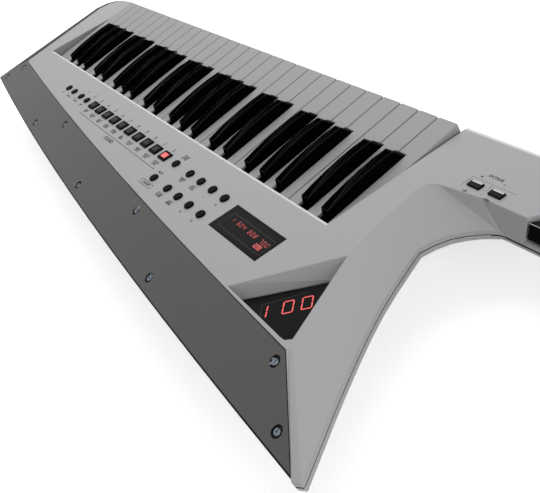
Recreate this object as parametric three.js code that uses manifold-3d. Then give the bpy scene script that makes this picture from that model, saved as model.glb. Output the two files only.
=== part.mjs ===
// Shoulder keyboard: 49 full-size keys in a thin faceted body with a metal blade along the audience side.
// Millimetres. While it is built, x runs from the bass end of the keys to the treble end, y from the
// key fronts to the audience side, and z is zero on top of the white keys. The exported group is
// moved so that its origin lies under the middle of the whole instrument, on the surface it rests on.
import * as THREE from 'three';
import { mergeVertices } from 'three/addons/utils/BufferGeometryUtils.js';
import Module from 'manifold-3d';

const wasm = await Module();
wasm.setup();

// Running clearances
const FIT = 0.3;
const OVERRUN = 1;
const FINE_OVERRUN = 0.5;

// White keys
const WHITE_COUNT = 29;
const KEY_PITCH = 23.5;
const KEY_GAP = 0.9;
const KEY_VISIBLE = 128.8;
const KEY_HEAD = 43.6;
const KEY_HEIGHT = 17;
const KEY_LIP_HEIGHT = 20;
const KEY_LIP_THICKNESS = 3;
const KEY_WALL = 1.6;
const KEY_TOP_THICKNESS = 2.4;
const KEY_TAIL_GAP = 2.2;
const KEY_TAIL_BLOCK = 14;

// Hinge of all keys
const HINGE_BEHIND_SLOT = 43;
const HINGE_DEPTH = 10;
const HINGE_ROD_RADIUS = 2;
const HINGE_EYE_DEPTH = 6;
const HINGE_SIDES = 8;

// Black keys
const BLACK_GAP = 0.35;
const BLACK_FRONT_GAP = 1;
const BLACK_BEFORE_SLOT = 8.3;
const BLACK_FRONT_SLOPE = 6.4;
const BLACK_REAR_SLOPE = 1;
const BLACK_SIDE_SLOPE = 2.1;
const BLACK_FRONT_HEIGHT = 8.8;
const BLACK_ARCH_HEIGHT = 10;
const BLACK_REAR_HEIGHT = 6.4;
const BLACK_ARCH_SHARE = 0.3;
const BLACK_ARCH_STEPS = 5;
const BLACK_BODY_DEPTH = 12;
const BLACK_TAIL_TOP = 1.2;

// Semitone slots of one octave: the white keys as slot numbers, and where the second group starts
const OCTAVE_WHITES = 7;
const OCTAVE_SEMITONES = 12;
const FIRST_GROUP_WHITES = 3;
const FIRST_GROUP_SEMITONES = 5;
const WHITE_SEMITONES = [0, 2, 4, 5, 7, 9, 11];
const BLACK_SEMITONES = [1, 3, 6, 8, 10];

// Panel plane: it rises towards the audience side
const PANEL_TILT_DEG = 7.64;
const PANEL_BELOW_KEYS = 5.6;
const SLOT_SIDE_GAP = 1.5;
const SLOT_EDGE_CHAMFER = 2.2;

// Plan of the body at its rim
const FRONT_LIP = 6;
const NECK_LENGTH = 484;
const NECK_END_EDGE = 54;
const NECK_ROOT_BESIDE_WAIST = 4;
const CHEEK_WIDTH = 85;
const CHEEK_CORNER_LENGTH = 66;
const CHEEK_CORNER_DEPTH = 34;
const RIM_TREBLE_INSET = 11;
const HORN_TIP_BESIDE_BLADE = 11;
const HORN_TIP_SETBACK = 2.5;
const HORN_TIP_WIDTH = 5;
const RIM_BOW = 10.5;
const WAIST_X = 65;
const WAIST_Y = 104;
const WAIST_END_X = 97;
const WAIST_END_Y = 61;

// Upper edges of the facets, on the panel plane
const EDGE_EASE = 2.2;
const EDGE_EASE_DROP = 2;
const CHEEK_FACET_INSET = 20;
const CHEEK_FACET_DROP = 3;
const PANEL_DEPTH = 91.1;
const PANEL_TREBLE_DEPTH = 35.7;
const PANEL_TREBLE_REACH = 14;
const BLADE_HEAD_X = 83.6;
const BLADE_HEAD_BOW = 7;
const BLADE_LEAN = 49.1;
const BLADE_LEAN_ASIDE = 67.4;
const BLADE_TREBLE_LEAN = 40;
const HORN_EDGE_WIDTH = 4;
const RIDGE_KNEE_X = 44.5;
const RIDGE_KNEE_Y = 141;
const RIDGE_APEX_X = 28.6;
const RIDGE_APEX_Y = 71;
const RIDGE_END_X = 40;
const RIDGE_END_Y = 55.5;
const NECK_RIDGE_X = 75;
const NECK_RIDGE_Y = 51;
const NECK_RIDGE_END_Y = 44;
const WAIST_MIDDLE_SHARES = [[0.43, 0.365], [0.76, 0.685]];
const WAIST_ROUND_SHARES = [[0.14, 0.39], [0.42, 0.68], [0.72, 0.88]];
const RIDGE_ROUND_SHARES = [[0.05, 0.5], [0.35, 0.82]];
const HORN_STEPS = 9;
const WAIST_STEPS = 6;
const BLADE_STEPS = 14;
const CORNER_STEPS = 4;

// Heights of the body, square to the panel plane
const PARTING_DROP = 18;
const BAND_HEIGHT = 4;
const FLANGE_HEIGHT = 4;
const COVER_WALL = 3;
const PANEL_THICKNESS = 3;

// Underside
const BASE_DEPTH = 60;
const FOOT_HEIGHT = 3;
const FOOT_RADIUS = 9;
const FOOT_INSET = 18;
const FOOT_SIDES = 16;
const FLOOR_FRONT_INSET = 4;
const FLOOR_BASS_X = 20;
const FLOOR_WAIST_X = 10;
const FLOOR_WAIST_Y = 50;
const FLOOR_TREBLE_INSET = 28;
const FLOOR_BEHIND_SLOT = 39.2;
const FLOOR_BOW = 3;
const NECK_HULL_DEPTH = 44;
const NECK_HULL_CORNER_SHARE = 0.713;
const NECK_HULL_SIDE_CORNER = 16;

// Blade along the audience side
const BLADE_THICKNESS = 2.5;
const BLADE_SCREW_RADIUS = 3.3;
const BLADE_POCKET_RADIUS = 4.3;
const BLADE_POCKET_DEPTH = 1.4;
const BLADE_SCREW_HEIGHT = 0.9;
const BLADE_SOCKET_RADIUS = 1.6;
const BLADE_SCREW_SIDES = 10;
const SOCKET_SIDES = 6;
const BLADE_UPPER_ROW_SHARE = 0.2;
const BLADE_LOWER_ROW_SHARE = 0.765;
const BLADE_UPPER_SCREWS = 4;
const BLADE_LOWER_SCREWS = 5;
const BLADE_SCREW_END_INSET = 15;

// Controls on the panel; distances run along the panel from the slot's rear edge
const CAP_RISE = 1.4;
const CAP_WIDTH = 14;
const CAP_DEPTH = 10.6;
const ROUND_CAP_RADIUS = 4.2;
const CAP_SIDES = 12;
const CONTROL_ROW_SHARE = 0.3546;
const LOWER_CONTROL_ROW_SHARE = 0.6169;
const BUTTON_PITCH = 22.3;
const RECT_COUNT = 10;
const RECT_FROM_ROUNDS = 24.9;
const ROUND_PITCH = 22.15;
const ROUND_COUNT = 4;
const ROUND_FROM_DISPLAY = 18.6;
const ROUND_LAST_GAP = 30.55;
const SMALL_FROM_RECTS = 24.6;
const SMALL_PITCH = 20.2;
const SMALL_PAIR_PITCH = 45.2;
const SMALL_PAIRS = 2;
const MAT_THICKNESS = 1.4;
const MAT_MARGIN = 5;

// Display window in the panel
const DISPLAY_WIDTH = 75.6;
const DISPLAY_DEPTH = 28.6;
const DISPLAY_X = 11.3;
const DISPLAY_ROW = 30.1;
const WINDOW_THICKNESS = 1.5;

// Sunk window with the large numbers, beside the horn ridge
const RECESS_DEPTH = 10;
const RECESS_EDGE_STRIP = 4;
const RECESS_LENGTH = 86;
const RECESS_RIDGE_GAP = 1;
const RECESS_KNEE_FALL = 15;
const RECESS_SIDE_FALL = 9;
const RECESS_BLADE_FALL = 1.2;
const RECESS_WALL = 2.5;

// Octave buttons on the neck
const OCTAVE_WIDTH = 14;
const OCTAVE_DEPTH = 7.6;
const OCTAVE_RISE = 1.6;
const OCTAVE_BODY = 9;
const OCTAVE_FIRST_X = 62;
const OCTAVE_PITCH = 20.4;
const OCTAVE_Y = 43;
const OCTAVE_DISH = 2.6;
const OCTAVE_DISH_DEPTH = 1.2;
const OCTAVE_TRAVEL = 1;

// Ribbon strip on the neck
const RIBBON_LENGTH = 190;
const RIBBON_WIDTH = 18;
const RIBBON_START_X = 140;
const RIBBON_Y = 13;
const RIBBON_THICKNESS = 1;

// Modulation bar in the neck's audience side
const BAR_START_X = 117;
const BAR_LENGTH = 190;
const BAR_INSET = 13;
const BAR_TOP_DROP = 3;
const BAR_BOTTOM_GAP = 2;
const BAR_THROW = 3;
const BAR_FACE_SET = 0.6;
const BAR_END_GAP = 1.5;
const BAR_PIVOT_RADIUS = 1.6;
const BAR_PIVOT_LENGTH = 4;
const BAR_WALL = 2.4;
const BAR_MOUTH_SLOPE = 10;
const BAR_SHOULDER = 2;

// Key chassis
const CHASSIS_SHEET = 2;
const CHASSIS_FRONT_Y = 3;
const CHASSIS_BEHIND_SLOT = 11.2;
const CHASSIS_STOP_Y = 20;
const CHASSIS_STOP_WIDTH = 12;
const CHASSIS_SHELF_DROP = 13;
const CHASSIS_LUG = 1.2;
const CHASSIS_LUG_RADIUS = 5;
const KEY_TRAVEL_DEG = 3.2;

// Sockets, battery door and strap pins on the underside
const JACK_COUNT = 5;
const JACK_PITCH = 19;
const JACK_RADIUS = 5.5;
const JACK_HOLE_RADIUS = 3.2;
const JACK_LENGTH = 5;
const JACK_SIDES = 12;
const JACK_BAY_DEPTH = 20;
const JACK_BAY_WIDTH = 32;
const JACK_BAY_MARGIN = 12;
const JACK_BAY_FROM_SLOT = 12;
const JACK_BAY_Y = 36;
const DOOR_LENGTH = 120;
const DOOR_WIDTH = 62;
const DOOR_X = 300;
const DOOR_Y = 40;
const DOOR_GROOVE = 0.8;
const DOOR_NOTCH = 16;
const PIN_STEM_RADIUS = 4;
const PIN_HEAD_RADIUS = 8;
const PIN_STEM_LENGTH = 6;
const PIN_HEAD_LENGTH = 3;
const PIN_FROM_NECK_END = 22;
const PIN_Y = 60;

// Colours and surfaces
const SHELL_FINISH = { color: 0xb4b4b6, roughness: 0.42, metalness: 0.05 };
const UNDERSIDE_FINISH = { color: 0xa8a8aa, roughness: 0.5, metalness: 0.02 };
const BLADE_FINISH = { color: 0x5c5b57, roughness: 0.38, metalness: 0.7 };
const WHITE_FINISH = { color: 0xb2b2b4, roughness: 0.35, metalness: 0 };
const BLACK_FINISH = { color: 0x0a0a0a, roughness: 0.2, metalness: 0 };
const RUBBER_FINISH = { color: 0x161616, roughness: 0.6, metalness: 0 };
const WINDOW_FINISH = { color: 0x121212, roughness: 0.15, metalness: 0 };
const STEEL_FINISH = { color: 0x8d9095, roughness: 0.4, metalness: 0.9 };

// Derived places
const TILT = THREE.MathUtils.degToRad(PANEL_TILT_DEG);
const KEYS_LENGTH = WHITE_COUNT * KEY_PITCH;
const SLOT_LEFT = -SLOT_SIDE_GAP;
const SLOT_RIGHT = KEYS_LENGTH + SLOT_SIDE_GAP;
const RIM_RIGHT = SLOT_RIGHT + CHEEK_WIDTH;
const HINGE_Y = KEY_VISIBLE + HINGE_BEHIND_SLOT;
const BLADE_HEAD_Y = KEY_VISIBLE + PANEL_DEPTH;
const BLADE_FOOT_X = BLADE_HEAD_X + BLADE_LEAN_ASIDE;
const BLADE_FOOT_Y = BLADE_HEAD_Y + BLADE_LEAN;
const BLADE_HEAD_TREBLE_X = SLOT_RIGHT + PANEL_TREBLE_REACH;
const BLADE_HEAD_TREBLE_Y = KEY_VISIBLE + PANEL_TREBLE_DEPTH;
const RIM_TREBLE_Y = BLADE_HEAD_TREBLE_Y + BLADE_TREBLE_LEAN;
const HORN_TIP_X = BLADE_FOOT_X + HORN_TIP_BESIDE_BLADE;
const HORN_TIP_Y = BLADE_FOOT_Y - HORN_TIP_SETBACK;
const BLACK_FRONT = KEY_HEAD + BLACK_FRONT_GAP;
const BLACK_REAR = KEY_VISIBLE - BLACK_BEFORE_SLOT;
const NECK_ROOT_X = WAIST_END_X + NECK_ROOT_BESIDE_WAIST;
const FLOOR_REAR_Y = KEY_VISIBLE + FLOOR_BEHIND_SLOT;
const CHASSIS_REAR_Y = KEY_VISIBLE + CHASSIS_BEHIND_SLOT;
const CONTROL_ROW = PANEL_DEPTH * CONTROL_ROW_SHARE;
const LOWER_CONTROL_ROW = PANEL_DEPTH * LOWER_CONTROL_ROW_SHARE;
const ROUND_FIRST_X = DISPLAY_X + DISPLAY_WIDTH + ROUND_FROM_DISPLAY;
const ROUND_LAST_X = ROUND_FIRST_X + (ROUND_COUNT - 1) * ROUND_PITCH + ROUND_LAST_GAP;
const RECT_FIRST_X = ROUND_LAST_X + RECT_FROM_ROUNDS;
const SMALL_FIRST_X = RECT_FIRST_X + (RECT_COUNT - 1) * BUTTON_PITCH + SMALL_FROM_RECTS;
const FLANGE_DROP = PARTING_DROP + FLANGE_HEIGHT;
const BAND_DROP = PARTING_DROP - BAND_HEIGHT;
const SLOT_EDGE_T = KEY_VISIBLE / Math.cos(TILT);
const NECK_TAPER = (NECK_RIDGE_Y - NECK_RIDGE_END_Y) / (NECK_LENGTH - NECK_RIDGE_X);
const BAR_BOTTOM_DROP = PARTING_DROP - BAR_WALL - BAR_BOTTOM_GAP;

// Rigid move from panel coordinates (x, distance along the panel, height over it) to the body
const PANEL_MATRIX = new THREE.Matrix4().makeTranslation(0, 0, -PANEL_BELOW_KEYS)
  .multiply(new THREE.Matrix4().makeRotationX(TILT));

// Height of the plane that lies `drop` under the panel plane, square to it.
function panelZ(y, drop = 0) {
  return y * Math.tan(TILT) - PANEL_BELOW_KEYS - drop / Math.cos(TILT);
}

// How far the neck's audience side has moved out at x, counted from the neck's end.
function neckWidening(x) {
  return NECK_TAPER * (x + NECK_LENGTH);
}

function panelPoint(x, along, height) {
  return new THREE.Vector3(x, along, height).applyMatrix4(PANEL_MATRIX);
}

// Closed triangle mesh to a solid that can be joined and cut.
function solid(geometry) {
  geometry.deleteAttribute('normal');
  geometry.deleteAttribute('uv');
  const merged = mergeVertices(geometry);
  const corners = merged.index.array;
  const triVerts = [];
  for (let i = 0; i < corners.length; i += 3) {
    const [a, b, c] = [corners[i], corners[i + 1], corners[i + 2]];
    if (a !== b && b !== c && c !== a) triVerts.push(a, b, c);
  }
  return new wasm.Manifold(new wasm.Mesh({
    numProp: 3,
    vertProperties: new Float32Array(merged.attributes.position.array),
    triVerts: new Uint32Array(triVerts),
  }));
}

function geometryOf(body) {
  const { vertProperties, triVerts } = body.getMesh();
  const geometry = new THREE.BufferGeometry();
  geometry.setAttribute('position', new THREE.BufferAttribute(vertProperties, 3));
  geometry.setIndex(new THREE.BufferAttribute(triVerts, 1));
  geometry.computeVertexNormals();
  return geometry;
}

function joined(bodies) {
  return bodies.reduce((whole, body) => whole.add(body));
}

function planCap(ring) {
  return THREE.ShapeUtils.triangulateShape(ring.map((p) => new THREE.Vector2(p.x, p.y)), []);
}

function fanCap(ring) {
  return ring.slice(2).map((_, i) => [0, i + 1, i + 2]);
}

// Solid between rings of equal count, lowest first, each running anticlockwise seen from the last one.
function loft(rings, cap = planCap) {
  const count = rings[0].length;
  const index = [];
  for (let low = 0; low + 1 < rings.length; low += 1) {
    for (let i = 0; i < count; i += 1) {
      const next = (i + 1) % count;
      const [a, b] = [low * count + i, low * count + next];
      index.push(a, b, b + count, a, b + count, a + count);
    }
  }
  const topStart = (rings.length - 1) * count;
  cap(rings[0]).forEach(([a, b, c]) => index.push(a, c, b));
  cap(rings.at(-1)).forEach(([a, b, c]) => index.push(topStart + a, topStart + b, topStart + c));
  const geometry = new THREE.BufferGeometry().setFromPoints(rings.flat());
  geometry.setIndex(index);
  return solid(geometry);
}

function shapeOf(points) {
  return new THREE.Shape(points.map(([a, b]) => new THREE.Vector2(a, b)));
}

// Upright prism over a plan outline.
function prismGeometry(points, low, high) {
  const geometry = new THREE.ExtrudeGeometry(shapeOf(points), { depth: high - low, bevelEnabled: false });
  return geometry.translate(0, 0, low);
}

function prism(points, low, high) {
  return solid(prismGeometry(points, low, high));
}

function panelPrism(points, low, high) {
  return solid(prismGeometry(points, low, high).applyMatrix4(PANEL_MATRIX));
}

// Profile in (y, z) run along x.
function profileGeometry(points, start, end) {
  const geometry = new THREE.ExtrudeGeometry(shapeOf(points), { depth: end - start, bevelEnabled: false });
  return geometry.applyMatrix4(new THREE.Matrix4().set(0, 0, 1, start, 1, 0, 0, 0, 0, 1, 0, 0, 0, 0, 0, 1));
}

function profileAlongX(points, start, end) {
  return solid(profileGeometry(points, start, end));
}

// Profile drawn at the neck's end and run along its tapering audience side.
function profileAlongNeck(points, start, end) {
  const rise = NECK_TAPER * Math.tan(TILT);
  const shear = new THREE.Matrix4().set(
    1, 0, 0, 0,
    NECK_TAPER, 1, 0, NECK_TAPER * NECK_LENGTH,
    rise, 0, 1, rise * NECK_LENGTH,
    0, 0, 0, 1,
  );
  return solid(profileGeometry(points, start, end).applyMatrix4(shear));
}

function rectangle(left, right, front, rear) {
  return [[left, front], [right, front], [right, rear], [left, rear]];
}

function box(left, right, front, rear, low, high) {
  return prism(rectangle(left, right, front, rear), low, high);
}

// Regular outline with its corners on the circle.
function round(x, y, radius, sides) {
  return Array.from({ length: sides }, (_, i) => {
    const angle = (i / sides) * 2 * Math.PI;
    return [x + radius * Math.cos(angle), y + radius * Math.sin(angle)];
  });
}

function rodAlongX(y, z, radius, start, end, sides = HINGE_SIDES) {
  return profileAlongX(round(y, z, radius, sides), start, end);
}

// Outline with all its sides moved inwards by one distance.
function inset(points, distance) {
  const count = points.length;
  return points.map(([x, y], i) => {
    const [px, py] = points[(i + count - 1) % count];
    const [nx, ny] = points[(i + 1) % count];
    const before = new THREE.Vector2(py - y, x - px).normalize();
    const after = new THREE.Vector2(y - ny, nx - x).normalize();
    const middle = before.clone().add(after).normalize();
    const reach = distance / Math.max(middle.dot(after), Math.SQRT1_2);
    return [x + middle.x * reach, y + middle.y * reach];
  });
}

function mix(from, to, share) {
  return from.map((value, axis) => value + (to[axis] - value) * share);
}

// Points of a shallow arch from one end to the other.
function bowed(from, to, bow, steps) {
  return Array.from({ length: steps + 1 }, (_, i) => {
    const share = i / steps;
    const [x, y] = mix(from, to, share);
    return [x, y + 4 * bow * share * (1 - share)];
  });
}

function between(from, to, shares) {
  return shares.map(([across, along]) => [
    from[0] + (to[0] - from[0]) * across,
    from[1] + (to[1] - from[1]) * along,
  ]);
}

function smooth(points, steps) {
  const curve = new THREE.SplineCurve(points.map(([x, y]) => new THREE.Vector2(x, y)));
  return curve.getPoints(steps).map((p) => [p.x, p.y]);
}

function corner(from, control, to, steps) {
  const curve = new THREE.QuadraticBezierCurve(
    new THREE.Vector2(...from),
    new THREE.Vector2(...control),
    new THREE.Vector2(...to),
  );
  return curve.getPoints(steps).map((p) => [p.x, p.y]);
}

// Stations round the body: the facet's upper edge on the panel, the rim under it, how far under
// the panel the facet ends, and the floor point below it.
function bodyStations() {
  const stations = [];
  const add = (tops, rims, drops, floors) => {
    tops.forEach((top, i) => stations.push({ top, rim: rims[i], drop: drops[i], floor: floors[i] }));
  };
  const same = (value, list) => list.map(() => value);

  const cheekStart = RIM_RIGHT - CHEEK_CORNER_LENGTH;
  const cheekSide = -FRONT_LIP + CHEEK_CORNER_DEPTH;
  const cheekRims = corner([cheekStart, -FRONT_LIP], [RIM_RIGHT, -FRONT_LIP], [RIM_RIGHT, cheekSide], CORNER_STEPS);
  const topFront = -FRONT_LIP + EDGE_EASE;
  const topSide = RIM_RIGHT - CHEEK_FACET_INSET;
  const cheekTops = corner([cheekStart, topFront], [topSide, topFront], [topSide, cheekSide], CORNER_STEPS);
  const floorFront = -FRONT_LIP + FLOOR_FRONT_INSET;
  const floorRight = RIM_RIGHT - FLOOR_TREBLE_INSET;
  const floorCorner = [floorRight, cheekSide];
  const cheekFloors = corner([cheekStart, floorFront], [floorRight, floorFront], floorCorner, CORNER_STEPS);
  const cheekDrops = cheekRims.map((_, i) => (
    EDGE_EASE_DROP + (CHEEK_FACET_DROP - EDGE_EASE_DROP) * (i / CORNER_STEPS)
  ));
  add(cheekTops, cheekRims, cheekDrops, cheekFloors);

  const headTreble = [BLADE_HEAD_TREBLE_X, BLADE_HEAD_TREBLE_Y];
  const head = [-BLADE_HEAD_X, BLADE_HEAD_Y];
  const footTreble = [RIM_RIGHT - RIM_TREBLE_INSET, RIM_TREBLE_Y];
  const foot = [-BLADE_FOOT_X, BLADE_FOOT_Y];
  const heads = bowed(headTreble, head, BLADE_HEAD_BOW, BLADE_STEPS);
  const feet = bowed(footTreble, foot, RIM_BOW, BLADE_STEPS);
  const floorTreble = [floorRight, FLOOR_REAR_Y];
  const floorBass = [-FLOOR_BASS_X, FLOOR_REAR_Y];
  const rearFloors = bowed(floorTreble, floorBass, FLOOR_BOW, BLADE_STEPS);
  add(heads, feet, same(PARTING_DROP, heads), rearFloors);

  const tip = [-HORN_TIP_X, HORN_TIP_Y];
  const ridgeStart = [-BLADE_HEAD_X - HORN_EDGE_WIDTH / 2, BLADE_HEAD_Y - HORN_EDGE_WIDTH];
  const waist = [-WAIST_X, WAIST_Y];
  const hornRims = smooth([tip, ...between(tip, waist, WAIST_MIDDLE_SHARES), waist], HORN_STEPS);
  const apex = [-RIDGE_APEX_X, RIDGE_APEX_Y];
  const hornTops = smooth([ridgeStart, [-RIDGE_KNEE_X, RIDGE_KNEE_Y], apex], HORN_STEPS);
  const floorWaist = [-FLOOR_WAIST_X, FLOOR_WAIST_Y];
  const sideFloors = bowed(floorBass, floorWaist, -FLOOR_BOW, HORN_STEPS + WAIST_STEPS + 1);
  add(
    [mix(head, ridgeStart, 1 / 2)],
    [[-HORN_TIP_X + HORN_TIP_WIDTH, HORN_TIP_Y + HORN_TIP_WIDTH * Math.SQRT1_2]],
    [BAND_DROP],
    [mix(floorBass, sideFloors[1], 1 / 2)],
  );
  add(hornTops, hornRims, same(BAND_DROP, hornTops), sideFloors.slice(1));

  const waistEnd = [-WAIST_END_X, WAIST_END_Y];
  const waistRims = smooth([waist, ...between(waist, waistEnd, WAIST_ROUND_SHARES), waistEnd], WAIST_STEPS).slice(1);
  const ridgeEnd = [-RIDGE_END_X, RIDGE_END_Y];
  const waistTops = smooth([apex, ...between(apex, ridgeEnd, RIDGE_ROUND_SHARES), ridgeEnd], WAIST_STEPS).slice(1);
  add(waistTops, waistRims, same(BAND_DROP, waistTops), sideFloors.slice(1 + HORN_STEPS + 1));
  return stations;
}

// The neck's corners, from its root at the ridge round its end to the front edge.
function neckStations() {
  const end = -NECK_LENGTH;
  const rootEdge = NECK_END_EDGE + neckWidening(-NECK_ROOT_X);
  return [
    { top: [-NECK_RIDGE_X, NECK_RIDGE_Y], rim: [-NECK_ROOT_X, rootEdge], drop: PARTING_DROP },
    { top: [end + EDGE_EASE, NECK_RIDGE_END_Y], rim: [end, NECK_END_EDGE], drop: PARTING_DROP },
    { top: [end + EDGE_EASE, -FRONT_LIP + EDGE_EASE], rim: [end, -FRONT_LIP], drop: EDGE_EASE_DROP },
  ];
}

const BODY_STATIONS = bodyStations();
const ALL_STATIONS = [...BODY_STATIONS, ...neckStations()];
const RIM = ALL_STATIONS.map((station) => station.rim);
const TOPS = ALL_STATIONS.map((station) => station.top);

function ringAt(points, drops) {
  return points.map(([x, y], i) => new THREE.Vector3(x, y, panelZ(y, Array.isArray(drops) ? drops[i] : drops)));
}

function ringLevel(points, z) {
  return points.map(([x, y]) => new THREE.Vector3(x, y, z));
}

// Plan position on the blade's sloping face, at a share along it and a share from head to foot.
function bladePoint(alongShare, downShare) {
  const headTreble = [BLADE_HEAD_TREBLE_X, BLADE_HEAD_TREBLE_Y];
  const footTreble = [RIM_RIGHT - RIM_TREBLE_INSET, RIM_TREBLE_Y];
  const bowShare = 4 * alongShare * (1 - alongShare);
  const head = mix(headTreble, [-BLADE_HEAD_X, BLADE_HEAD_Y], alongShare);
  const foot = mix(footTreble, [-BLADE_FOOT_X, BLADE_FOOT_Y], alongShare);
  head[1] += BLADE_HEAD_BOW * bowShare;
  foot[1] += RIM_BOW * bowShare;
  const [x, y] = mix(head, foot, downShare);
  return new THREE.Vector3(x, y, panelZ(y, PARTING_DROP * downShare));
}

// Block between the blade's face raised by one amount and lowered by another, grown at its ends.
function bladeBlock(raise, lower, grow) {
  const slope = (BLADE_FOOT_Y - BLADE_HEAD_Y) / Math.hypot(BLADE_FOOT_Y - BLADE_HEAD_Y, PARTING_DROP);
  const growAlong = grow / bladePoint(0, 0).distanceTo(bladePoint(1, 0));
  const growDown = grow / bladePoint(0, 0).distanceTo(bladePoint(0, 1));
  const across = Array.from({ length: BLADE_STEPS + 1 }, (_, i) => {
    const alongShare = (i / BLADE_STEPS) * (1 + 2 * growAlong) - growAlong;
    const at = (downShare, height) => {
      const point = bladePoint(alongShare, downShare * (1 + 2 * growDown) - growDown);
      point.z += height / slope;
      return point;
    };
    return [at(0, raise), at(1, raise), at(1, -lower), at(0, -lower)];
  });
  return loft(across, fanCap);
}

function bladeScrewPlaces() {
  const row = (count, downShare) => {
    const length = bladePoint(0, downShare).distanceTo(bladePoint(1, downShare));
    const endShare = BLADE_SCREW_END_INSET / length;
    return Array.from({ length: count }, (_, i) => (
      bladePoint(endShare + (1 - 2 * endShare) * (i / (count - 1)), downShare)
    ));
  };
  return [...row(BLADE_UPPER_SCREWS, BLADE_UPPER_ROW_SHARE), ...row(BLADE_LOWER_SCREWS, BLADE_LOWER_ROW_SHARE)];
}

// Upright cylinder turned square to the blade's face, its axis ends measured from that face.
function bladePlug(place, radius, sides, from, to) {
  const plug = prismGeometry(round(0, 0, radius, sides), from, to);
  const down = bladePoint(1 / 2, 1).sub(bladePoint(1 / 2, 0)).normalize();
  const across = new THREE.Vector3(1, 0, 0).addScaledVector(down, -down.x).normalize();
  const basis = new THREE.Matrix4().makeBasis(across, down, new THREE.Vector3().crossVectors(across, down));
  return solid(plug.applyMatrix4(basis.setPosition(place)));
}

function buttonPlaces() {
  const rects = Array.from({ length: RECT_COUNT }, (_, i) => [RECT_FIRST_X + i * BUTTON_PITCH, CONTROL_ROW]);
  const upper = Array.from({ length: ROUND_COUNT }, (_, i) => [ROUND_FIRST_X + i * ROUND_PITCH, CONTROL_ROW]);
  const lower = upper.map(([x]) => [x, LOWER_CONTROL_ROW]);
  const small = [];
  for (let pair = 0; pair < SMALL_PAIRS; pair += 1) {
    const start = SMALL_FIRST_X + pair * SMALL_PAIR_PITCH;
    small.push([start, CONTROL_ROW], [start + SMALL_PITCH, CONTROL_ROW]);
  }
  const rounds = [...upper, [ROUND_LAST_X, CONTROL_ROW], ...lower, [ROUND_LAST_X, LOWER_CONTROL_ROW], ...small];
  return { rects, rounds };
}

// Outlines of all button caps on the panel, grown by a clearance.
function capOutlines(grow) {
  const { rects, rounds } = buttonPlaces();
  const halfWidth = CAP_WIDTH / 2 + grow;
  const halfDepth = CAP_DEPTH / 2 + grow;
  return [
    ...rects.map(([x, s]) => rectangle(
      x - halfWidth,
      x + halfWidth,
      SLOT_EDGE_T + s - halfDepth,
      SLOT_EDGE_T + s + halfDepth,
    )),
    ...rounds.map(([x, s]) => round(x, SLOT_EDGE_T + s, ROUND_CAP_RADIUS + grow, CAP_SIDES)),
  ];
}

function displayOutline(grow) {
  return rectangle(
    DISPLAY_X - grow,
    DISPLAY_X + DISPLAY_WIDTH + grow,
    SLOT_EDGE_T + DISPLAY_ROW - grow,
    SLOT_EDGE_T + DISPLAY_ROW + DISPLAY_DEPTH + grow,
  );
}

// Outline of the sunk window's mouth on the panel: knee, ridge side, blade side, panel side.
function recessMouth() {
  const along = (y) => y / Math.cos(TILT);
  const bladeSide = BLADE_HEAD_Y - RECESS_EDGE_STRIP;
  const knee = [-RIDGE_KNEE_X + RECESS_RIDGE_GAP, along(RIDGE_KNEE_Y)];
  const ridge = [-BLADE_HEAD_X + RECESS_EDGE_STRIP, along(bladeSide - RECESS_EDGE_STRIP)];
  const bladeCorner = [-BLADE_HEAD_X + 2 * RECESS_EDGE_STRIP, along(bladeSide)];
  const panel = [-BLADE_HEAD_X + RECESS_EDGE_STRIP + RECESS_LENGTH, along(bladeSide) - RECESS_EDGE_STRIP / 2];
  return [knee, panel, bladeCorner, ridge];
}

function recessFloor() {
  const [knee, panel, bladeCorner, ridge] = recessMouth();
  const towards = (from, to, fall) => {
    const span = Math.hypot(to[0] - from[0], to[1] - from[1]);
    return mix(from, to, fall / span);
  };
  return [
    towards(knee, bladeCorner, RECESS_KNEE_FALL),
    towards(panel, bladeCorner, RECESS_SIDE_FALL),
    towards(bladeCorner, knee, RECESS_BLADE_FALL),
    towards(ridge, knee, RECESS_BLADE_FALL),
  ];
}

function recessBlock(grow, overrun) {
  const ring = (points, height) => inset(points, -grow).map(([x, t]) => panelPoint(x, t, height));
  return loft([ring(recessFloor(), -RECESS_DEPTH - grow), ring(recessMouth(), overrun)]);
}

// Plan of the modulation bar's pocket, or of the bar inside it, open to the neck's audience side.
function barPlan(endGap, innerGap) {
  const start = -BAR_START_X - endGap;
  const end = -BAR_START_X - BAR_LENGTH + endGap;
  const inner = innerGap - BAR_INSET;
  return [
    [start, NECK_END_EDGE],
    [end, NECK_END_EDGE],
    [end, 0],
    [end + BAR_MOUTH_SLOPE, inner],
    [start - BAR_MOUTH_SLOPE, inner],
    [start, 0],
  ].map(([x, offset]) => [x, (NECK_RIDGE_END_Y + neckWidening(x) + offset) / Math.cos(TILT)]);
}

// Space under the keys' rear ends, where they reach below the panel.
function keyPassage() {
  const rear = HINGE_Y + KEY_TAIL_BLOCK;
  return box(SLOT_LEFT, SLOT_RIGHT, -FRONT_LIP - OVERRUN, rear, -BASE_DEPTH, BLACK_TAIL_TOP + OVERRUN);
}

function octaveOutline(index, grow) {
  const x = -OCTAVE_FIRST_X - index * OCTAVE_PITCH;
  const t = OCTAVE_Y / Math.cos(TILT);
  const halfWidth = OCTAVE_WIDTH / 2 + grow;
  const halfDepth = OCTAVE_DEPTH / 2 + grow;
  return rectangle(x - halfWidth, x + halfWidth, t - halfDepth, t + halfDepth);
}

function ribbonOutline(grow) {
  const right = -RIBBON_START_X;
  return rectangle(
    right - RIBBON_LENGTH - grow,
    right + grow,
    RIBBON_Y - RIBBON_WIDTH / 2 - grow,
    RIBBON_Y + RIBBON_WIDTH / 2 + grow,
  );
}

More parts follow.
